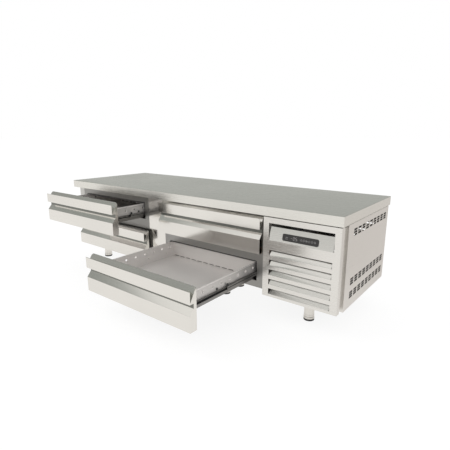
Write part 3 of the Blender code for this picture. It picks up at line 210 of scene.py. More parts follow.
def make_floor():
    """Pale floor that keeps the shadow. The steel mirrors it darker towards the back."""
    corners = [(x, y, 0.0) for x, y in rectangle(-FLOOR_REACH, -FLOOR_REACH, FLOOR_REACH, FLOOR_REACH)]
    data = bpy.data.meshes.new("floor")
    data.from_pydata(corners, [], [range(4)])
    floor = put("floor", data)
    material = bpy.data.materials.new("pale_floor")
    material.use_nodes = True
    tree = material.node_tree
    tree.nodes.clear()
    place = separate(tree, "Object")
    back = math_node(tree, "ADD", place[1], math_node(tree, "MULTIPLY", place[0], FLOOR_FADE_SLANT))
    mirrored = ramp_node(tree, map_range(tree, back, *FLOOR_FADE), FLOOR_MIRRORED)
    path = tree.nodes.new("ShaderNodeLightPath").outputs
    bright = tree.nodes.new("ShaderNodeEmission")
    tree.links.new(mix_colour(tree, path["Is Glossy Ray"], FLOOR_SEEN, mirrored), bright.inputs["Color"])
    seen = math_node(tree, "MAXIMUM", path["Is Camera Ray"], path["Is Transmission Ray"])
    seen = math_node(tree, "MAXIMUM", seen, path["Is Glossy Ray"])
    matt = tree.nodes.new("ShaderNodeBsdfDiffuse")
    matt.inputs["Color"].default_value = (*FLOOR_MATT, 1.0)
    mix = tree.nodes.new("ShaderNodeMixShader")
    tree.links.new(math_node(tree, "MULTIPLY", seen, FLOOR_GLOW_SHARE), mix.inputs[0])
    tree.links.new(matt.outputs[0], mix.inputs[1])
    tree.links.new(bright.outputs[0], mix.inputs[2])
    tree.links.new(mix.outputs[0], tree.nodes.new("ShaderNodeOutputMaterial").inputs[0])
    data.materials.append(material)


# ---- materials
NOISE_ROUGHNESS = 0.55
FINE_DETAIL = 3.0
CLOUD_DETAIL = 2.0
CLOUD_SCALE = (2.5, 2.5, 3.25)
NOISE_RANGE = (0.3, 0.7)
TONE_SHARES = (0.45, 0.55)
ROUGHNESS_SHARES = (0.6, 0.4)
COAT_ROUGHNESS = 0.08
EDGE_RADIUS = 0.0012
EDGE_SAMPLES = 4
EDGE_RANGE = (0.8, 0.99)
EDGE_CLOUD = 0.4
EDGE_PALER = 1.25


def mapped_noise(tree, vector, scale, detail):
    """Noise stretched by a scale along each axis."""
    mapping = tree.nodes.new("ShaderNodeMapping")
    mapping.inputs["Scale"].default_value = scale
    tree.links.new(vector, mapping.inputs["Vector"])
    noise = tree.nodes.new("ShaderNodeTexNoise")
    for name, number in (("Scale", 1.0), ("Detail", detail), ("Roughness", NOISE_ROUGHNESS)):
        noise.inputs[name].default_value = number
    tree.links.new(mapping.outputs[0], noise.inputs["Vector"])
    return noise.outputs["Fac"]


def scaled(colour, share):
    """Colour made darker or paler."""
    return tuple(min(1.0, side * share) for side in colour)


def worn_edges(tree, clouds, wear):
    """Factor that is above zero along edges, in patches."""
    bevel_node = tree.nodes.new("ShaderNodeBevel")
    bevel_node.samples = EDGE_SAMPLES
    bevel_node.inputs["Radius"].default_value = EDGE_RADIUS
    dot = tree.nodes.new("ShaderNodeVectorMath")
    dot.operation = "DOT_PRODUCT"
    tree.links.new(bevel_node.outputs[0], dot.inputs[0])
    tree.links.new(tree.nodes.new("ShaderNodeNewGeometry").outputs["Normal"], dot.inputs[1])
    edge = map_range(tree, dot.outputs["Value"], *EDGE_RANGE, wear, 0.0)
    return math_node(tree, "MULTIPLY", edge, map_range(tree, clouds, *NOISE_RANGE, EDGE_CLOUD, 1.0))


def finish(name, colour, rough, grain, metallic=1.0, vary=0.05, rough_vary=0.08, bump=0.1, depth=0.0002,
           wear=0.0, coat=0.0):
    """Finish with fine grain, slow clouds of tone, and paler edges where there is wear."""
    material = bpy.data.materials.new(name)
    material.use_nodes = True
    tree = material.node_tree
    shader = tree.nodes["Principled BSDF"].inputs
    shader["Metallic"].default_value = metallic
    if coat:
        shader["Coat Weight"].default_value = coat
        shader["Coat Roughness"].default_value = COAT_ROUGHNESS
    coord = tree.nodes.new("ShaderNodeTexCoord").outputs["Object"]
    fine = mapped_noise(tree, coord, grain, FINE_DETAIL)
    clouds = mapped_noise(tree, coord, CLOUD_SCALE, CLOUD_DETAIL)
    factor = map_range(tree, blend(tree, fine, clouds, TONE_SHARES), *NOISE_RANGE)
    tone = mix_colour(tree, factor, scaled(colour, 1.0 - vary), scaled(colour, 1.0 + vary))
    if wear:
        tone = mix_colour(tree, worn_edges(tree, clouds, wear), tone, scaled(colour, EDGE_PALER))
    tree.links.new(tone, shader["Base Color"])
    level = blend(tree, fine, clouds, ROUGHNESS_SHARES)
    spread = map_range(tree, level, *NOISE_RANGE, rough - rough_vary, rough + rough_vary)
    tree.links.new(spread, shader["Roughness"])
    relief = tree.nodes.new("ShaderNodeBump")
    relief.inputs["Strength"].default_value = bump
    relief.inputs["Distance"].default_value = depth
    tree.links.new(fine, relief.inputs["Height"])
    tree.links.new(relief.outputs[0], shader["Normal"])
    return material


ALONG_X = (6.0, 900.0, 900.0)
ALONG_Y = (900.0, 6.0, 900.0)
ALONG_Z = (900.0, 900.0, 6.0)
EVEN = (420.0,) * 3
RUBBERY = {"metallic": 0.0, "vary": 0.15, "bump": 0.2}
PRINTED = {"metallic": 0.0, "vary": 0.06, "bump": 0.0}

# Finishes: colour, roughness, grain, and what differs from the usual
FINISHES = {
    "steel_top": ((0.8, 0.79, 0.755), 0.27, ALONG_X, {"wear": 0.35}),
    "steel_front": ((0.8, 0.785, 0.755), 0.15, ALONG_X, {"rough_vary": 0.05, "bump": 0.05, "wear": 0.35}),
    # Painted shade for the back walls of the finger grooves
    "groove_painted_shade": ((0.2, 0.205, 0.19), 0.38, ALONG_X, {"bump": 0.05}),
    "steel_panel": ((0.81, 0.795, 0.77), 0.27, ALONG_X, {"wear": 0.35}),
    "steel_side": ((0.8, 0.78, 0.755), 0.33, ALONG_Y, {"wear": 0.3}),
    "steel_back": ((0.66, 0.655, 0.64), 0.42, ALONG_X, {"wear": 0.2}),
    # Painted shade for the recessed face frames and the casing inside the machine compartment
    "recess_painted_shade": ((0.36, 0.355, 0.345), 0.4, ALONG_X, {"wear": 0.3}),
    # Painted shade for the bay liners and runner racks inside the cabinet
    "interior_painted_shade": ((0.27, 0.262, 0.255), 0.42, ALONG_Z, {}),
    "steel_box": ((0.83, 0.8, 0.78), 0.45, ALONG_X, {"metallic": 0.5, "wear": 0.3}),
    # Painted shade for the outer walls of the drawer boxes above their rails
    "box_wall_painted_shade": ((0.66, 0.64, 0.625), 0.42, ALONG_X, {"metallic": 0.6, "wear": 0.3}),
    # Runner steel, partly its own greasy galvanised tone and partly painted shade; also laid on the rails and
    # lower walls of the boxes as painted shade
    "runner_steel_and_painted_shade": ((0.27, 0.265, 0.26), 0.3, ALONG_Y, {"wear": 0.3}),
    "steel_leg": ((0.82, 0.8, 0.77), 0.3, ALONG_Z, {}),
    # Zinc darkened by painted shade, for the base tray and the casing's rivets
    "zinc": ((0.26, 0.26, 0.25), 0.45, (60.0,) * 3, {"vary": 0.1, "bump": 0.05}),
    "bright_screw": ((0.74, 0.73, 0.71), 0.25, EVEN, {"wear": 0.3}),
    "foam": ((0.8, 0.7, 0.44), 0.9, (160.0,) * 3,
             {"metallic": 0.0, "vary": 0.12, "bump": 0.5, "depth": 0.001}),
    "rubber": ((0.055, 0.055, 0.056), 0.62, EVEN, RUBBERY),
    # Gasket grey, partly its own colour and partly painted light: made paler so the shaded gaps beside the
    # fronts read lighter
    "gasket": ((0.5, 0.5, 0.485), 0.6, EVEN, RUBBERY),
    "black_plastic": ((0.028, 0.028, 0.03), 0.42, EVEN, RUBBERY | {"bump": 0.15}),
    "display_glass": ((0.02, 0.018, 0.018), 0.16, EVEN, PRINTED | {"vary": 0.1, "coat": 0.5}),
    "symbol": ((0.34, 0.33, 0.33), 0.5, EVEN, PRINTED),
    "digit": ((0.42, 0.4, 0.4), 0.5, EVEN, PRINTED),
    "grey_plastic": ((0.35, 0.36, 0.37), 0.5, EVEN, PRINTED | {"bump": 0.25}),
    "aluminium": ((0.78, 0.79, 0.8), 0.35, ALONG_Z, {"vary": 0.04}),
    "black_paint": ((0.035, 0.035, 0.038), 0.38, (220.0,) * 3, RUBBERY | {"bump": 0.15, "wear": 0.06}),
    "copper": ((0.74, 0.4, 0.26), 0.3, (30.0,) * 3, {"vary": 0.12, "bump": 0.03}),
}
MATERIALS = {name: finish(name, *row, **others) for name, (*row, others) in FINISHES.items()}


# ---- helpers for pieces
MM = 0.001
WELD_REACH = 0.00002
SOLID_ANGLE = 30.0
TURNS = {
    "X": Matrix.Rotation(math.pi / 2, 3, "Y"),
    "Y": Matrix.Rotation(-math.pi / 2, 3, "X"),
    "Z": Matrix.Identity(3),
}

# Pan-head screw with a washer and a recess: shares of its radius and height
SCREW_HEAD = (
    (1.45, 0), (1.45, 0.25), (1.02, 0.32), (1, 0.75), (0.8, 1.08), (0.42, 1.22), (0.34, 0.7), (0, 0.62),
)


def piece(name, shape, look, body="cabinet", smooth=True, angle=35.0):
    """Named piece that rides on a body. Its slot has the look's name."""
    bmesh.ops.recalc_face_normals(shape, faces=shape.faces)
    data = bpy.data.meshes.new(name)
    shape.to_mesh(data)
    shape.free()
    item = put(name, data)
    data.materials.append(MATERIALS[look])
    if smooth:
        data.shade_smooth()
        data.set_sharp_from_angle(angle=math.radians(angle))
    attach(item, body)
    return item


def bevel(item, width, segments=2, angle=35.0):
    """Round the edges of a piece."""
    modifier = item.modifiers.new("bevel", "BEVEL")
    modifier.width = width
    modifier.segments = segments
    modifier.limit_method = "ANGLE"
    modifier.angle_limit = math.radians(angle)
    modifier.harden_normals = False


def centre_of(low, high):
    """Middle of a box in X, Y and Z."""
    return (low.x + high.x) / 2, (low.y + high.y) / 2, (low.z + high.z) / 2


def between(first, last, count):
    """Evenly spaced numbers with both ends."""
    return [first + (last - first) * i / (count - 1) for i in range(count)]


def inset(low, high, margin):
    """Two places a margin inside two ends."""
    return low + margin, high - margin


def rectangle(left, low, right, high):
    """Outline of a rectangle."""
    return [(left, low), (right, low), (right, high), (left, high)]


def cut_rectangle(left, low, right, high, across, up):
    """Outline of a rectangle with its corners cut."""
    return [(left + across, low), (right - across, low), (right, low + up), (right, high - up),
            (right - across, high), (left + across, high), (left, high - up), (left, low + up)]


def rounded(left, low, right, high, radius, steps=6):
    """Outline of a rectangle with round corners."""
    near_x, far_x, near_y, far_y = left + radius, right - radius, low + radius, high - radius
    points = []
    for x, y, first in ((far_x, near_y, -90), (far_x, far_y, 0), (near_x, far_y, 90), (near_x, near_y, 180)):
        for step in range(steps + 1):
            angle = math.radians(first + 90.0 * step / steps)
            points.append((x + radius * math.cos(angle), y + radius * math.sin(angle)))
    return points


def skin(shape, first, second, count):
    """Faces between two loops of corners."""
    for k in range(count):
        m = (k + 1) % len(first)
        shape.faces.new((first[k], first[m], second[m], second[k]))


def add_loops(shape, loops, closed=True):
    """Skin round a ring of point loops. Open loops get a cap at both ends."""
    loops = [[shape.verts.new(point) for point in loop] for loop in loops]
    for first, second in zip(loops, loops[1:] + loops[:1]):
        skin(shape, first, second, len(first) - (not closed))
    if not closed:
        for end in (0, -1):
            shape.faces.new([loop[end] for loop in loops])


def add_box(shape, low, high):
    """Box between two corners."""
    add_prism(shape, rectangle(low[0], low[1], high[0], high[1]), "Z", low[2], high[2])


def add_prism(shape, outline, axis, start, end):
    """Extrude a closed outline of (a, b) points along X, Y or Z."""
    order = {"X": (2, 0, 1), "Y": (0, 2, 1), "Z": (0, 1, 2)}[axis]
    first, second = (
        [shape.verts.new([(a, b, along)[k] for k in order]) for a, b in outline] for along in (start, end)
    )
    skin(shape, first, second, len(first))
    shape.faces.new(first)
    shape.faces.new(second[::-1])


def add_lathe(shape, profile, centre, axis, segments, sign=1.0, closed=False):
    """Turn (radius, height) points in millimetres about an axis. A closed profile makes a ring."""
    centre = Vector(centre)
    rings = []
    for radius, height in profile:
        ring = []
        for i in range(segments if radius else 1):
            angle = 2 * math.pi * i / segments
            spoke = Vector((radius * MM * math.cos(angle), radius * MM * math.sin(angle), sign * height * MM))
            ring.append(shape.verts.new(centre + TURNS[axis] @ spoke))
        rings.append(ring)
    for lower, upper in zip(rings, rings[1:] + rings[:1] if closed else rings[1:]):
        for i in range(segments):
            j = (i + 1) % segments
            corners = [ring[k % len(ring)] for ring, k in ((lower, i), (lower, j), (upper, j), (upper, i))]
            corners = list(dict.fromkeys(corners))
            if len(corners) > 2:
                shape.faces.new(corners)


def add_tube(shape, points, bend, radius, segments, steps=5):
    """Round tube along points with rounded bends, without twist."""
    points = [Vector(point) for point in points]
    path = [points[0]]
    for before, corner, after in zip(points, points[1:], points[2:]):
        near = corner + (before - corner).normalized() * bend
        far = corner + (after - corner).normalized() * bend
        for step in range(steps + 1):
            share = step / steps
            path.append(near.lerp(corner, share).lerp(corner.lerp(far, share), share))
    path.append(points[-1])
    side = (path[1] - path[0]).normalized().orthogonal().normalized()
    rings = []
    for before, point, after in zip(path[:1] + path, path, path[1:] + path[-1:]):
        along = (after - before).normalized()
        side = (side - along * side.dot(along)).normalized()
        up = along.cross(side)
        ring = []
        for k in range(segments):
            angle = 2 * math.pi * k / segments
            ring.append(shape.verts.new(point + (side * math.cos(angle) + up * math.sin(angle)) * radius))
        rings.append(ring)
    for first, second in zip(rings, rings[1:]):
        skin(shape, first, second, segments)
    shape.faces.new(rings[0][::-1])
    shape.faces.new(rings[-1])


def screws(name, places, axis, radius=4.5, height=2.2):
    """Screws of the cabinet, sized in millimetres, whose heads point along axis."""
    shape = bmesh.new()
    profile = [(across * radius, along * height) for across, along in SCREW_HEAD]
    for place in places:
        add_lathe(shape, profile, place, axis, 20)
    piece(name, shape, "bright_screw")


# ---- solids that stay, with their finish
# Finish, width of the rounded edges, and the names or first words of the solids
SOLIDS = (
    ("steel_top", 0.0006, ("worktop",)),
    ("steel_back", 0.0003, ("outer_casing", "rear_grille")),
    ("foam", 0.0, ("insulation_foam",)),
    ("steel_side", 0.0004, ("side_panel",)),
    ("steel_panel", 0.0004, ("tech_panel",)),
    ("steel_front", 0.0004, ("mullion_cover",)),
    ("steel_front", 0.0006, ("drawer_front_",)),
    # The base tray's zinc carries painted shade
    ("zinc", 0.0003, ("base_tray",)),
    ("steel_box", 0.0003, ("drip_tray", "drawer_box_")),
    # Painted shade on the bay liners and runner racks
    ("interior_painted_shade", 0.0003, ("bay_liner_", "runner_rack_")),
    # Painted shade on the face frames
    ("recess_painted_shade", 0.0004, ("face_frame_",)),
    # The runner steel carries painted shade
    ("runner_steel_and_painted_shade", 0.0003, ("runner_middle_",)),
    ("grey_plastic", 0.0003, ("condenser_fan", "evaporator_fan")),
    ("black_paint", 0.0005, ("condenser_fan_shroud", "evaporator_fan_frame", "compressor")),
    ("copper", 0.0, ("discharge_pipe",)),
    ("steel_leg", 0.0005, ("leg_", "foot_")),
    ("display_glass", 0.0005, ("controller",)),
    ("grey_plastic", 0.0005, ("electrical_box",)),
    ("aluminium", 0.0005, ("condenser_coil", "evaporator_coil")),
    ("black_plastic", 0.0005, ("mains_gland",)),
    ("rubber", 0.0, ("drawer_gasket_",)),
)
FACING = 0.9
GROOVE_DEPTHS = (0.3, 0.8)
WALL_MARGIN = 0.0003
RAIL_MARGIN = 0.0004
PARTITION_REACH = 0.05

# Drawer box and runner, from the left edge of the front and the edge of the middle member
WALL_LEFT = 0.058
WALL_RIGHT = 0.692
RAIL_INSET = 0.0016


def walls(place):
    """Outer faces of a drawer box, left and right."""
    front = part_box("drawer_front_" + place)[0]
    return front.x + WALL_LEFT, front.x + WALL_RIGHT


def member_top(place):
    """Level of the top of a drawer's middle runner members."""
    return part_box("runner_middle_" + place + "_r")[1].z


def dress(name, look, width):
    """Finish and rounded edges of a solid that stays."""
    item = nodes[name]
    item.data.materials.clear()
    item.data.materials.append(MATERIALS[look])
    item.modifiers.new("weld", "WELD").merge_threshold = WELD_REACH
    if width:
        bevel(item, width, angle=SOLID_ANGLE)


def shade_groove(place):
    """Painted shade: a dark finish on the back wall of a front's finger groove."""
    item = nodes["drawer_front_" + place]
    item.data.materials.append(MATERIALS["groove_painted_shade"])
    levels = [corner.co.y for corner in item.data.vertices]
    face_y, back_y = min(levels), max(levels)
    start, end = (share * (back_y - face_y) for share in GROOVE_DEPTHS)
    for face in item.data.polygons:
        if face.normal.y < -FACING and start < face.center.y - face_y < end:
            face.material_index = 1


def shade_rails(place):
    """Painted shade: dark runner steel on the rails and lower walls of a drawer's box, and darker steel on
    the walls above them.
    """
    item = nodes["drawer_box_" + place]
    for look in ("runner_steel_and_painted_shade", "box_wall_painted_shade"):
        item.data.materials.append(MATERIALS[look])
    left, right = walls(place)
    rail_top = member_top(place) - RAIL_INSET
    for face in item.data.polygons:
        centre = item.matrix_world @ face.center
        if left + WALL_MARGIN < centre.x < right - WALL_MARGIN:
            continue
        if centre.z < rail_top + RAIL_MARGIN:
            face.material_index = 1
        elif abs(face.normal.x) > FACING:
            face.material_index = 2


def shade_partition():
    """Painted shade: darker steel on the casing inside the machine compartment."""
    item = nodes["outer_casing"]
    item.data.materials.append(MATERIALS["recess_painted_shade"])
    wall_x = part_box("base_tray")[0].x
    back_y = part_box("rear_grille")[0].y
    for face in item.data.polygons:
        centre = item.matrix_world @ face.center
        if centre.x > wall_x - PARTITION_REACH and centre.y < back_y:
            face.material_index = 1


def dress_solids():
    """Finishes of all solids that stay, with painted shade on some of their faces."""
    for look, width, starts in SOLIDS:
        for start in starts:
            for name in nodes:
                if name == start or start.endswith("_") and name.startswith(start):
                    dress(name, look, width)
    shade_partition()
    for place in DRAWERS:
        shade_groove(place)
        shade_rails(place)


# ---- drawers
# Seal: shares of its width and depth, from its outer edge and its face
SEAL_WIDTH = 0.014
SEAL_OUTLINE = (
    (0, 0), (1, 0), (1, 0.16), (0.8, 0.2), (0.66, 0.32), (0.8, 0.46), (0.66, 0.6), (0.84, 0.68), (0.9, 0.8),
    (0.84, 0.96), (0.62, 1), (0.3, 1), (0.12, 0.94), (0.06, 0.8), (0.14, 0.66), (0.36, 0.58), (0.2, 0.46),
    (0.36, 0.32), (0.2, 0.22), (0, 0.16),
)

# Box: millimetres inwards and upwards from its walls' top, and a rim's radius and height
HEM_OUTLINE = (
    (1.3, -5.2), (1.3, -0.8), (0.9, 0.6), (0, 1.2), (-1.2, 1.4), (-2.6, 1),
    (-3.4, 0), (-3.6, -1.2), (-3.6, -5.2), (-2.6, -6.2), (-1.4, -5.2),
)
HEM_START = 0.0003
HOLE_RIM = ((6.2, -1.4), (6.2, 1.4), (7, 1.8), (8.4, 1), (8.6, 0), (8.4, -1), (7, -1.8))
HOLES = 8
HOLE_MARGIN = 0.035
HALF_WALL = 0.0006
# Dark sheet of painted shade under a box's floor: inset, start behind the box's front, corner and heights
UNDERSIDE_SHADE_INSET = 0.02
UNDERSIDE_SHADE_START = 0.112
UNDERSIDE_SHADE_CORNER = 0.012
UNDERSIDE_SHADE_HEIGHTS = (-0.0015, 0.0002)

# Runner: profiles in millimetres, and places from the front, the member's end and the rail's top
BUFFER = ((0, 0), (5.2, 0), (5.8, 0.6), (5.8, 3.6), (4.8, 4.6), (2.6, 4.9), (2.2, 3.4), (0, 3.2))
BUFFER_PLACE = (0.247, 0.0062)
ROLLER = (
    (0, -3), (3, -3), (3.4, -2.2), (5.2, -2.2), (6, -1.2),
    (6, 1.2), (5.2, 2.2), (3.4, 2.2), (3, 3), (0, 3),
)
ROLLER_PLACE = (0.0065, 0.0064)
ROLLER_OFFSET = 0.0018
CLIP = ((0.2, -0.6), (18, -0.6), (15, 2.2), (10.5, 4.2), (2.5, 4.2))
CLIP_HALF = 0.0012
RUNNER_RIVET = ((0, 1.6), (2.2, 1.4), (3.4, 0.8), (3.8, 0), (0, 0))
RIVETS = 4
RIVET_START = 0.085
RIVET_PITCH = 0.145
RIVET_BELOW = 0.011
# Dark strips of painted shade in the runner's gaps, on the box's walls and on the middle members: heights,
# depths, half widths and ends
GAP_SHADE_STRIPS = ((0.0042, 0.0022), (-0.0046, 0.0026))
GAP_SHADE_DEPTH = 0.0045
GAP_SHADE_ENDS = (0.004, 0.002)
MEMBER_SHADE_DEPTH = 0.0003
MEMBER_SHADE_HALVES = (0.0032, 0.0024)
MEMBER_SHADE_END = 0.003
SUNK = 0.0001

# Lip of the opening: sizes, and places from the face frame, the box and the runner
OPENING_SIDE = 0.039
BOX_TO_OPENING = 0.0068
RUNNER_TO_LIP = 0.015
LIP_THICK = 0.0032
LIP_HIGH = 0.0052
LIP_DEEP = 0.003
LIP_GAP = 0.0002
FRONT_LIP_INSET = 0.004
FRONT_LIP_SPAN = (-0.0004, 0.003)
FRONT_LIP_DEPTHS = (-0.0005, 0.0002)
WEB_SPAN = (-0.0006, -0.0001)


def gasket(place):
    """Seal with a magnet bulb and a bellows behind it."""
    low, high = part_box("drawer_gasket_" + place)
    loops = []
    for across, along in SEAL_OUTLINE:
        margin = across * SEAL_WIDTH
        y = low.y + along * (high.y - low.y)
        outline = rectangle(low.x + margin, low.z + margin, high.x - margin, high.z - margin)
        loops.append([(x, y, z) for x, z in outline])
    shape = bmesh.new()
    add_loops(shape, loops)
    item = piece("seal_" + place, shape, "gasket", "drawer_" + place, angle=50.0)
    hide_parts("drawer_gasket_" + place)


def box_trim(place):
    """Rolled hem of a box's walls, and raised rims of their holes."""
    body = "drawer_" + place
    low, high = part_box("drawer_box_" + place)
    left, right = walls(place)
    start = low.y + HEM_START
    loops = []
    for inwards, upwards in HEM_OUTLINE:
        x0, x1 = inset(left, right, inwards * MM)
        y, z = high.y - inwards * MM, high.z + upwards * MM
        loops.append([(x0, start, z), (x0, y, z), (x1, y, z), (x1, start, z)])
    shape = bmesh.new()
    add_loops(shape, loops, closed=False)
    piece("box_hem_" + place, shape, "steel_box", body, angle=40.0)
    shape = bmesh.new()
    middle = (member_top(place) - RAIL_INSET + high.z) / 2
    for y in between(*inset(low.y, high.y, HOLE_MARGIN), HOLES):
        for x in inset(left, right, HALF_WALL):
            add_lathe(shape, HOLE_RIM, (x, y, middle), "X", 28, closed=True)
    piece("hole_rims_" + place, shape, "steel_box", body)


def runner_trim(place):
    """Stops, rollers and rivets of one drawer's runners, and dark strips in the gaps between its members as
    painted shade.
    """
    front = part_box("drawer_front_" + place)[0]
    box_low, box_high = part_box("drawer_box_" + place)
    top = member_top(place) + RAIL_INSET
    buffers, rollers, rivets, inner, outer = (bmesh.new() for _ in range(5))
    for (side, hand), wall in zip(HANDS, walls(place)):
        low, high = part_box("runner_middle_" + place + "_" + hand)
        add_lathe(buffers, BUFFER, (wall, front.y + BUFFER_PLACE[0], top + BUFFER_PLACE[1]), "X", 24, side)
        lane = (low.x + high.x) / 2 + side * ROLLER_OFFSET
        add_lathe(rollers, ROLLER, (lane, low.y + ROLLER_PLACE[0], top + ROLLER_PLACE[1]), "X", 24)
        clip = [(low.y + back * MM, top + up * MM) for back, up in CLIP]
        add_prism(rollers, clip, "X", lane - CLIP_HALF, lane + CLIP_HALF)
        for step in range(RIVETS):
            y = front.y + RIVET_START + step * RIVET_PITCH
            seat = (wall - side * 2 * HALF_WALL, y, top - RIVET_BELOW)
            add_lathe(rivets, RUNNER_RIVET, seat, "X", 16, -side)
        middle = (low.z + high.z) / 2
        near, far = sorted((wall - side * SUNK, wall + side * GAP_SHADE_DEPTH))
        for rise, thick in GAP_SHADE_STRIPS:
            outline = rectangle(near, middle + rise - thick / 2, far, middle + rise + thick / 2)
            add_prism(inner, outline, "Y", box_low.y + GAP_SHADE_ENDS[0], box_high.y - GAP_SHADE_ENDS[1])
        face = high.x if side > 0 else low.x
        near, far = sorted((face - side * SUNK, face + side * MEMBER_SHADE_DEPTH))
        wide, slim = MEMBER_SHADE_HALVES
        outline = [(near, middle - wide), (far, middle - slim), (far, middle + slim), (near, middle + wide)]
        add_prism(outer, outline, "Y", *inset(low.y, high.y, MEMBER_SHADE_END))
    drawer, runner = "drawer_" + place, "runner_" + place
    piece("runner_buffers_" + place, buffers, "rubber", drawer)
    piece("runner_rollers_" + place, rollers, "black_plastic", body=runner)
    piece("runner_rivets_" + place, rivets, "bright_screw", drawer)
    # Painted shade: dark strips in the gaps of the runner
    piece("runner_gap_shade_" + place, inner, "black_plastic", body=drawer, smooth=False)
    piece("runner_member_shade_" + place, outer, "black_plastic", body=runner, smooth=False)


def box_underside_shade(place):
    """Painted shade: dark rubber sheet under the floor of a drawer's box, behind its forward part."""
    low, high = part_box("drawer_box_" + place)
    left, right = walls(place)
    outline = cut_rectangle(left + UNDERSIDE_SHADE_INSET, low.y + UNDERSIDE_SHADE_START, right - UNDERSIDE_SHADE_INSET, high.y - UNDERSIDE_SHADE_INSET,
                            UNDERSIDE_SHADE_CORNER, UNDERSIDE_SHADE_CORNER)
    shape = bmesh.new()
    add_prism(shape, outline, "Z", *(low.z + height for height in UNDERSIDE_SHADE_HEIGHTS))
    item = piece("box_underside_shade_" + place, shape, "rubber", "drawer_" + place, smooth=False)
    bevel(item, 0.0004, 1)


def opening_seal(place):
    """Soft lip along the top and upper sides of a drawer's opening."""
    frame_low, frame_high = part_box("face_frame_" + place.split("_")[1])
    left = frame_low.x + OPENING_SIDE
    right = frame_high.x - OPENING_SIDE
    start = frame_high.y + LIP_GAP
    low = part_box("runner_middle_" + place + "_l")[1].z + RUNNER_TO_LIP
    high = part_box("drawer_box_" + place)[1].z + BOX_TO_OPENING
    inner_left, inner_right = left + LIP_THICK, right - LIP_THICK
    outline = [(left, low), (inner_left, low), (inner_left, high - LIP_HIGH), (inner_right, high - LIP_HIGH),
               (inner_right, low), (right, low), (right, high), (left, high)]
    shape = bmesh.new()
    add_prism(shape, outline, "Y", start, start + LIP_DEEP)
    front, back = (frame_low.y + depth for depth in FRONT_LIP_DEPTHS)
    for (bottom, top), end in ((FRONT_LIP_SPAN, back), (WEB_SPAN, start + LIP_GAP)):
        outline = rectangle(left + FRONT_LIP_INSET, high + bottom, right - FRONT_LIP_INSET, high + top)
        add_prism(shape, outline, "Y", front, end)
    item = piece("opening_seal_" + place, shape, "rubber", smooth=False)
    bevel(item, 0.0004, 1)


# ---- controller
# Sloping plate: its foot, how far it goes back and up, and where the display starts on it
PLATE_FOOT = (-0.086, 0.4400225)
PLATE_BACK = 0.013
PLATE_UP = 0.06899
DISPLAY_START = 0.145
DISPLAY_HEIGHT = 0.0352
DISPLAY_RADIUS = 0.0085
DISPLAY_DEPTHS = (-0.0021, 0.001)
HOUSING_INSET = (0.012, 0.006)
HOUSING_RADIUS = 0.004
HOUSING_DEPTHS = (0.0011, 0.0278)

# Display border: inset in X and Z, and corner radius, outside and inside
BORDER = ((0.0045, 0.0038, 0.0055), (0.0052, 0.0045, 0.0049))
BORDER_RISE = 0.00025
MARK_DEPTHS = (DISPLAY_DEPTHS[0] - 0.0003, DISPLAY_DEPTHS[0] + 0.0002)

# Digits: ends of each bar on a grid, and the bars of each sign
BARS = {
    "a": ((0, 2), (1, 2)), "b": ((1, 2), (1, 1)), "c": ((1, 1), (1, 0)), "d": ((0, 0), (1, 0)),
    "f": ((0, 2), (0, 1)), "e": ((0, 1), (0, 0)), "g": ((0, 1), (1, 1)),
}
DIGIT_BARS = {"0": "abcdef", "5": "acdfg", "-": "g"}
DIGITS = "-05"
DIGIT_GRID = (0.0078, 0.0072)
DIGIT_START = (0.046, 0.0105)
DIGIT_PITCH = 0.0125
BAR_POINT = 0.0008
BAR_SHOULDER = 0.0017
BAR_HALF = 0.00085

# Keys: profiles in millimetres, and places along the display
DOT = ((0, 0), (1.8, 0), (1.8, 0.3), (0, 0.3))
DOTS_X = (0.02, 0.027)
DOT_BELOW = 0.006
KEY_RING = ((4.6, 0), (4.6, 0.4), (5.3, 0.4), (5.3, 0))
KEYS = 6
KEY_START = 0.1
KEY_PITCH = 0.0142


def bar_outline(start, end):
    """Pointed bar of a digit, as places along it and beside it."""
    return [(start + BAR_POINT, 0.0), (start + BAR_SHOULDER, -BAR_HALF), (end - BAR_SHOULDER, -BAR_HALF),
            (end - BAR_POINT, 0.0), (end - BAR_SHOULDER, BAR_HALF), (start + BAR_SHOULDER, BAR_HALF)]


def add_digits(shape):
    """Dim bars of the signs on the display."""
    for count, sign in enumerate(DIGITS):
        for name in DIGIT_BARS[sign]:
            (ax, az), (bx, bz) = BARS[name]
            x0, x1 = (DIGIT_START[0] + count * DIGIT_PITCH + step * DIGIT_GRID[0] for step in (ax, bx))
            z0, z1 = (DIGIT_START[1] + step * DIGIT_GRID[1] for step in sorted((az, bz)))
            if az == bz:
                outline = [(x, z0 + beside) for x, beside in bar_outline(x0, x1)]
            else:
                outline = [(x0 + beside, z) for z, beside in bar_outline(z0, z1)]
            add_prism(shape, outline, "Y", *MARK_DEPTHS)


def add_keys(shape):
    """Plain marks of the touch keys: two dots, a bar and six ringed signs."""
    middle = DISPLAY_HEIGHT / 2
    rise = DISPLAY_DEPTHS[0] + 0.0001
    for x in DOTS_X:
        add_lathe(shape, DOT, (x, rise, middle - DOT_BELOW), "Y", 20, -1.0)
    add_prism(shape, rounded(0.0185, middle + 0.001, 0.03, middle + 0.0028, 0.0008, 3), "Y", *MARK_DEPTHS)
    for key in range(KEYS):
        x = KEY_START + key * KEY_PITCH
        add_lathe(shape, KEY_RING, (x, rise, middle), "Y", 28, -1.0, closed=True)
        up = [(x - 0.002, middle - 0.0014), (x + 0.002, middle - 0.0014), (x, middle + 0.002)]
        down = [(x - 0.002, middle + 0.0014), (x, middle - 0.002), (x + 0.002, middle + 0.0014)]
        square = rounded(x - 0.0018, middle - 0.0018, x + 0.0018, middle + 0.0018, 0.0006, 3)
        add_prism(shape, (up, down, square)[key % 3], "Y", *MARK_DEPTHS)


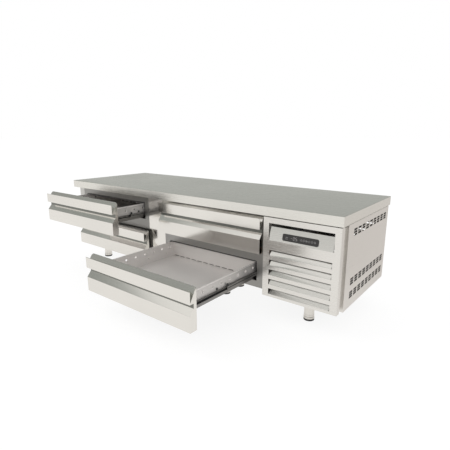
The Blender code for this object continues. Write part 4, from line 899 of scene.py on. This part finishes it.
def controller():
    """Black display with dim digits and plain key marks, on the sloping plate."""
    low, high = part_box("controller")
    width = high.x - low.x
    slope = math.atan2(PLATE_BACK, PLATE_UP)
    rise = PLATE_UP * DISPLAY_START
    corner = (low.x, PLATE_FOOT[0] + rise * math.sin(slope), PLATE_FOOT[1] + rise * math.cos(slope))
    start = Matrix.Translation(corner) @ Matrix.Rotation(-slope, 4, "X")

    def plate_piece(name, shape, look):
        bmesh.ops.transform(shape, matrix=start, verts=shape.verts)
        return piece(name, shape, look, angle=30.0)

    def inset_outline(x, z, radius):
        return rounded(x, z, width - x, DISPLAY_HEIGHT - z, radius)

    shape = bmesh.new()
    add_prism(shape, inset_outline(0.0, 0.0, DISPLAY_RADIUS), "Y", *DISPLAY_DEPTHS)
    add_prism(shape, inset_outline(*HOUSING_INSET, HOUSING_RADIUS), "Y", *HOUSING_DEPTHS)
    item = plate_piece("display", shape, "display_glass")
    bevel(item, 0.0008, 3)
    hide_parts("controller")
    shape = bmesh.new()
    outer, inner = (inset_outline(*row) for row in BORDER)
    front, back = DISPLAY_DEPTHS[0] - BORDER_RISE, MARK_DEPTHS[1]
    sides = ((outer, front), (inner, front), (inner, back), (outer, back))
    add_loops(shape, [[(x, y, z) for x, z in outline] for outline, y in sides])
    plate_piece("display_border", shape, "black_plastic")
    shape = bmesh.new()
    add_digits(shape)
    plate_piece("display_digits", shape, "digit")
    shape = bmesh.new()
    add_keys(shape)
    plate_piece("display_keys", shape, "symbol")


# ---- legs and feet
# Profiles in millimetres: inset from the rim and height, or radius and height
FOOT_RIM = (
    (1.2, 10.4), (0.2, 11.2), (0.2, 13.6), (1.6, 14.4), (1.6, 15.4),
    (0.2, 16.2), (0.2, 19.8), (1.6, 21.6), (5, 22),
)
PAD_RIM = ((2, 0), (0.8, 0.6), (0.3, 1.8), (0.3, 4.6), (1, 5.2), (0.3, 5.8), (0.3, 9.8), (1.4, 10.6))
STEM_RADIUS = 11.0
THREAD = ((0.1, 0), (1.4, 0.6), (1.4, 0.95))
THREAD_START = 24.0
THREAD_PITCH = 1.6
THREAD_TOP = 2.0
LEG_WASHER = ((0, 0), (5.2, 0), (5.2, -0.8), (0, -0.8))
LEG_SCREW = ((0, -0.7), (4, -0.7), (4, -3), (3.4, -3.6), (0, -3.6))
LEG_SCREW_REACH = 0.0335
FLANGE_THICK = 0.004
LEG_COLLAR = ((26.4, 0), (27, 0.5), (27.3, 2), (27.3, 9), (26.9, 10.5), (26.4, 11))


def foot(place):
    """Adjustable foot: threaded stem, grooved base and dark pad."""
    body = "foot_" + place
    low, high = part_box(body)
    x, y, _ = centre_of(low, high)
    radius = (high.x - low.x) / 2 / MM
    top = high.z / MM - THREAD_TOP
    profile = [(0, FOOT_RIM[0][1])] + [(radius - inwards, height) for inwards, height in FOOT_RIM]
    profile.append((STEM_RADIUS, FOOT_RIM[-1][1]))
    height = THREAD_START
    while height < top:
        profile += [(STEM_RADIUS - inwards, height + up) for inwards, up in THREAD]
        height += THREAD_PITCH
    profile += [(STEM_RADIUS - 1.6, top), (0, top)]
    shape = bmesh.new()
    add_lathe(shape, profile, (x, y, 0.0), "Z", 40)
    item = piece("foot_base_" + place, shape, "steel_leg", body, angle=30.0)
    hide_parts(body)
    shape = bmesh.new()
    pad = [(0, 0)] + [(radius - inwards, height) for inwards, height in PAD_RIM] + [(0, PAD_RIM[-1][1])]
    add_lathe(shape, pad, (x, y, 0.0), "Z", 40)
    piece("foot_pad_" + place, shape, "rubber", body, angle=30.0)


def leg_trim(place):
    """Hexagon screws in the leg's flange and a collar at the tube's lower end."""
    low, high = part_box("leg_" + place)
    x, y, _ = centre_of(low, high)
    shape = bmesh.new()
    for i in range(4):
        angle = math.pi / 4 + i * math.pi / 2
        px, py = x + LEG_SCREW_REACH * math.cos(angle), y + LEG_SCREW_REACH * math.sin(angle)
        seat = (px, py, high.z - FLANGE_THICK)
        add_lathe(shape, LEG_WASHER, seat, "Z", 20)
        add_lathe(shape, LEG_SCREW, seat, "Z", 6)
    piece("leg_screws_" + place, shape, "bright_screw", angle=30.0)
    shape = bmesh.new()
    add_lathe(shape, LEG_COLLAR, (x, y, low.z), "Z", 48, closed=True)
    piece("leg_collar_" + place, shape, "steel_leg", angle=30.0)


# ---- machine compartment
# Profiles in millimetres. Some are shares of a size.
SHELL = (
    (0, 6), (30, 6.2), (52, 10), (66, 19), (71.5, 30), (72.5, 42), (72.5, 78),
    (73.5, 80), (74.7, 82), (74.7, 86), (73.5, 88), (71.7, 90), (71.7, 126),
)
SHELL_RADIUS = 0.0735
DOME_STEPS = 10
DOME_POWER = 0.85
DOME_GAP = 1.5
FOOTPLATE = (0.085, 0.06, 0.008)
FOOTPLATE_HEIGHTS = (0.0035, 0.006)
GROMMET = (
    (4.2, 0), (9.8, 0), (10.2, 1), (10.2, 3), (8, 3.6),
    (8, 6.2), (9.8, 6.8), (9.8, 9), (8.5, 10), (4.2, 10),
)
STUD = ((0, 0.4), (3.6, 0.4), (3.6, 10.1), (7.5, 10.1), (7.5, 11.2), (3.6, 11.2), (3.4, 16), (0, 16))
STUD_PLACE = (0.076, 0.046)
COIL_END = 0.016
TUBE_RADIUS = 0.0042
TUBE_GAP = 0.0008
HUB_CAP = ((0, 0.2), (10, 0.2), (18, 1), (23.6, 3.8), (24.3, 7), (24.3, 10), (23.6, 10.1), (0, 10.1))
INLET_RING = ((5.2, 0), (12, 0.4), (7.5, 1), (5, 4), (4.6, 10))
MOTOR_CAP = ((0, 0), (30.5, 0), (31.2, -1), (31.2, -4), (30.4, -5), (0, -5))
RIB = ((-0.001, 0.0296), (0.001, 0.0296), (0.0006, 0.0318), (-0.0006, 0.0318))
RIBS = 18
FAN_SCREW_INSET = 0.01
LID_DEPTH = 0.018
LID_GAP = 0.0008
LID_SCREW_INSET = 0.011
GLAND_COLLAR = ((0.55, 0), (1.25, 0), (1.32, 0.08), (1.32, 0.5), (1.25, 0.58), (0.55, 0.58))
GLAND_CAP = ((0.55, 0.5), (1.02, 0.5), (1.02, 0.85), (0.9, 1.1), (0.72, 1.2), (0.55, 1.16))


def compressor():
    """Sealed compressor with a welded seam, stubs, a terminal cover and rubber feet."""
    low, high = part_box("compressor")
    x, y, _ = centre_of(low, high)
    base = low.z
    radius, start = SHELL[-1]
    top = (high.z - base) / MM - DOME_GAP
    profile = list(SHELL)
    for step in range(1, DOME_STEPS):
        angle = step * math.pi / 2 / DOME_STEPS
        profile.append((radius * math.cos(angle) ** DOME_POWER, start + (top - start) * math.sin(angle)))
    shape = bmesh.new()
    add_lathe(shape, profile + [(0, top)], (x, y, base), "Z", 56)
    item = piece("compressor_shell", shape, "black_paint", angle=60.0)
    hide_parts("compressor")
    shape = bmesh.new()
    across, along, corner = FOOTPLATE
    bottom, top = (base + height for height in FOOTPLATE_HEIGHTS)
    add_prism(shape, rounded(x - across, y - along, x + across, y + along, corner, 4), "Z", bottom, top)
    item = piece("compressor_footplate", shape, "black_paint")
    bevel(item, 0.0006)
    rubber, metal = bmesh.new(), bmesh.new()
    for px in inset(x, x, -STUD_PLACE[0]):
        for py in inset(y, y, -STUD_PLACE[1]):
            add_lathe(rubber, GROMMET, (px, py, base), "Z", 24, closed=True)
            add_lathe(metal, STUD, (px, py, base), "Z", 20)
    piece("compressor_grommets", rubber, "rubber")
    piece("compressor_studs", metal, "bright_screw")
    shape = bmesh.new()
    side = x - SHELL_RADIUS
    outline = cut_rectangle(y - 0.03, base + 0.06, y + 0.03, base + 0.122, 0.004, 0.006)
    add_prism(shape, outline, "X", side - 0.012, side + 0.012)
    item = piece("terminal_cover", shape, "black_plastic")
    bevel(item, 0.0025, 3)
    shape = bmesh.new()
    ends = ((0.01, -0.0325), (-0.014, -0.0325), (-0.014, 0.0325), (0.01, 0.0325))
    add_tube(shape, [(side + out, y + aside, base + 0.091) for out, aside in ends], 0.004, 0.0011, 10)
    piece("terminal_spring", shape, "bright_screw")
    shape = bmesh.new()
    for points, thick in (
        (((-0.034, -0.06, 0.118), (-0.04, -0.086, 0.118), (-0.04, -0.086, 0.15)), 0.0042),
        (((0.036, -0.06, 0.05), (0.043, -0.084, 0.05), (0.043, -0.084, 0.1)), 0.0034),
    ):
        add_tube(shape, [(x + dx, y + dy, base + dz) for dx, dy, dz in points], 0.012, thick, 16)
    piece("compressor_stubs", shape, "copper")


def coil_block(name, node, axis, columns, fins, rows=8):
    """Finned coil: thin fins, end plates and a serpentine of tubes."""
    low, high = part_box(node)
    side_low, side_high = low[1 - axis], high[1 - axis]
    first, last = low[axis] + COIL_END, high[axis] - COIL_END

    def corner(along, across, level):
        return (across, along, level) if axis else (along, across, level)

    shape = bmesh.new()
    for place in between(first + 0.002, last - 0.002, fins):
        add_box(shape, corner(place - 0.00016, side_low + 0.0008, low.z + 0.004),
                corner(place + 0.00016, side_high - 0.0008, high.z - 0.002))
    item = piece(name + "_fins", shape, "aluminium", smooth=False)
    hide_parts(node)
    shape = bmesh.new()
    for place, flange in ((first - 0.0012, -0.01), (last + 0.0012, 0.01)):
        add_box(shape, corner(place - 0.0007, side_low, low.z), corner(place + 0.0007, side_high, high.z))
        start, end = sorted((place, place + flange))
        for level in (low.z, high.z - 0.0014):
            add_box(shape, corner(start, side_low, level), corner(end, side_high, level + 0.0014))
    item = piece(name + "_end_plates", shape, "steel_back", smooth=False)
    bevel(item, 0.0003, 1)
    shape = bmesh.new()
    for column in range(columns):
        across = side_low + (side_high - side_low) * (column + 0.5) / columns
        for row in range(rows - 1):
            z0, z1 = (low.z + (high.z - low.z) * (row + share) / rows for share in (0.5, 1.5))
            bend = (z1 - z0) * 0.48
            start, end = first - 0.006, high[axis] - TUBE_RADIUS - TUBE_GAP
            if row % 2:
                start, end, bend = first - 0.005, low[axis] + TUBE_RADIUS + TUBE_GAP, min(bend, 0.0098)
            turns = ((start, z0), (end, z0), (end, z1), (start, z1))
            add_tube(shape, [corner(along, across, z) for along, z in turns], bend, TUBE_RADIUS, 10, 6)
    piece(name + "_tubes", shape, "copper")


def fan_trim(name, node, plate):
    """Hub cap, inlet ring, screws and motor ribs of a fan. The plate's depth is in millimetres."""
    low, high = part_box(name)
    frame_low, frame_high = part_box(node)
    radius = (high.x - low.x) / 2 / MM
    plate_back = frame_low.y + plate * MM
    x, _, z = centre_of(low, high)
    shape = bmesh.new()
    add_lathe(shape, HUB_CAP, (x, low.y, z), "Y", 40)
    piece(name + "_hub_cap", shape, "grey_plastic", body=name, angle=45.0)
    shape = bmesh.new()
    ring = [(radius + outwards, depth) for outwards, depth in (*INLET_RING, (4.4, plate), (5.6, plate))]
    add_lathe(shape, ring, (x, frame_low.y, z), "Y", 64, closed=True)
    piece(name + "_inlet_ring", shape, "black_paint")
    places = [(px, plate_back, pz) for px in inset(frame_low.x, frame_high.x, FAN_SCREW_INSET)
              for pz in inset(frame_low.z, frame_high.z, FAN_SCREW_INSET)]
    screws(name + "_screws", places, "Y", 3.2, 1.8)
    shape = bmesh.new()
    for i in range(RIBS):
        angle = 2 * math.pi * i / RIBS
        cos, sin = math.cos(angle), math.sin(angle)
        outline = [(x + out * cos - aside * sin, z + out * sin + aside * cos) for aside, out in RIB]
        add_prism(shape, outline, "Y", plate_back + 0.0075, frame_high.y - 0.006)
    add_lathe(shape, MOTOR_CAP, (x, frame_high.y - 0.0005, z), "Y", 40)
    piece(name + "_motor_ribs", shape, "black_paint", angle=40.0)


def electrical_box():
    """Box with a lid on a seam, four screws and two glands underneath."""
    low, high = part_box("electrical_box")
    seam = high.x - LID_DEPTH
    shape = bmesh.new()
    add_box(shape, low, (seam, high.y, high.z))
    item = piece("electrical_box_body", shape, "grey_plastic")
    bevel(item, 0.003, 3)
    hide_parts("electrical_box")
    shape = bmesh.new()
    add_box(shape, (seam + LID_GAP, low.y, low.z), (high.x - 0.0003, high.y, high.z))
    item = piece("electrical_box_lid", shape, "grey_plastic")
    bevel(item, 0.003, 3)
    shape = bmesh.new()
    (y0, y1), (z0, z1) = inset(low.y, high.y, 0.002), inset(low.z, high.z, 0.002)
    add_box(shape, (seam - 0.002, y0, z0), (seam + 0.003, y1, z1))
    item = piece("electrical_box_seal", shape, "rubber")
    bevel(item, 0.001)
    places = [(high.x - 0.0004, y, z) for y in inset(low.y, high.y, LID_SCREW_INSET)
              for z in inset(low.z, high.z, LID_SCREW_INSET)]
    screws("electrical_box_screws", places, "X", 3.6, 1.9)
    shape = bmesh.new()
    for y in (low.y + 0.05, low.y + 0.11):
        gland_nut(shape, ((low.x + seam) / 2, y, low.z), "Z", -1.0, 9.0)
    piece("electrical_box_glands", shape, "black_plastic", angle=30.0)


def gland_nut(shape, place, axis, sign, radius):
    """Hexagon collar with a domed cap."""
    for shares, segments in ((GLAND_COLLAR, 6), (GLAND_CAP, 24)):
        profile = [(across * radius, along * radius) for across, along in shares]
        add_lathe(shape, profile, place, axis, segments, sign, closed=True)


def mains_gland():
    """Cable gland through the rear grille, with its nut inside."""
    low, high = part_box("mains_gland")
    x, _, z = centre_of(low, high)
    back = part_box("rear_grille")[1].y
    shape = bmesh.new()
    gland_nut(shape, (x, back + 0.0003, z), "Y", 1.0, 9.6)
    stem = rectangle(5.2, (low.y - back) / MM, 8.8, 2.0)
    add_lathe(shape, stem, (x, back, z), "Y", 24, closed=True)
    add_lathe(shape, rectangle(8.6, -9.5, 13.0, -3.5), (x, back, z), "Y", 6, closed=True)
    item = piece("gland", shape, "black_plastic", angle=30.0)
    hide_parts("mains_gland")


# ---- fasteners of the cabinet
GRILLE_INSET = 0.014
CASING_RIVET = ((0, 1.6), (1.6, 1.5), (3.2, 0.9), (4, 0), (0, 0))
RIVET_INSET = 0.016
RIVET_END = 0.03
SIDE_INSET = 0.012


def cabinet_trim():
    """Screws of the rear grille and side panel, and rivets of the casing."""
    low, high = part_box("rear_grille")
    places = [(x, high.y, z) for z in (low.z + GRILLE_INSET, (low.z + high.z) / 2, high.z - GRILLE_INSET)
              for x in inset(low.x, high.x, GRILLE_INSET)]
    screws("rear_grille_screws", places, "Y")
    low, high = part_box("outer_casing")
    shape = bmesh.new()
    for z in inset(low.z, high.z, RIVET_INSET):
        for x in between(*inset(low.x, high.x, RIVET_END), 9):
            add_lathe(shape, CASING_RIVET, (x, high.y, z), "Y", 16)
        for y in between(*inset(low.y, high.y, RIVET_END), 4):
            add_lathe(shape, CASING_RIVET, (low.x, y, z), "X", 16, -1.0)
    piece("casing_rivets", shape, "zinc")
    low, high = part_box("side_panel")
    places = [(high.x - SIDE_INSET, high.y, z) for z in inset(low.z, high.z, SIDE_INSET)]
    screws("side_panel_screws", places, "Y", 3.6, 1.8)


# ---- assembly
make_camera()
make_world()
make_floor()
for row in LIGHTS:
    area_light(*row)
dress_solids()
for drawer_place in DRAWERS:
    for build in (opening_seal, gasket, box_trim, runner_trim, box_underside_shade):
        build(drawer_place)
controller()
for leg_place in LEGS:
    foot(leg_place)
    leg_trim(leg_place)
compressor()
coil_block("condenser", "condenser_coil", 0, 2, 110)
coil_block("evaporator", "evaporator_coil", 1, 3, 60)
fan_trim("condenser_fan", "condenser_fan_shroud", 24.0)
fan_trim("evaporator_fan", "evaporator_fan_frame", 20.0)
electrical_box()
mains_gland()
cabinet_trim()
scene.view_settings.view_transform = "Standard"
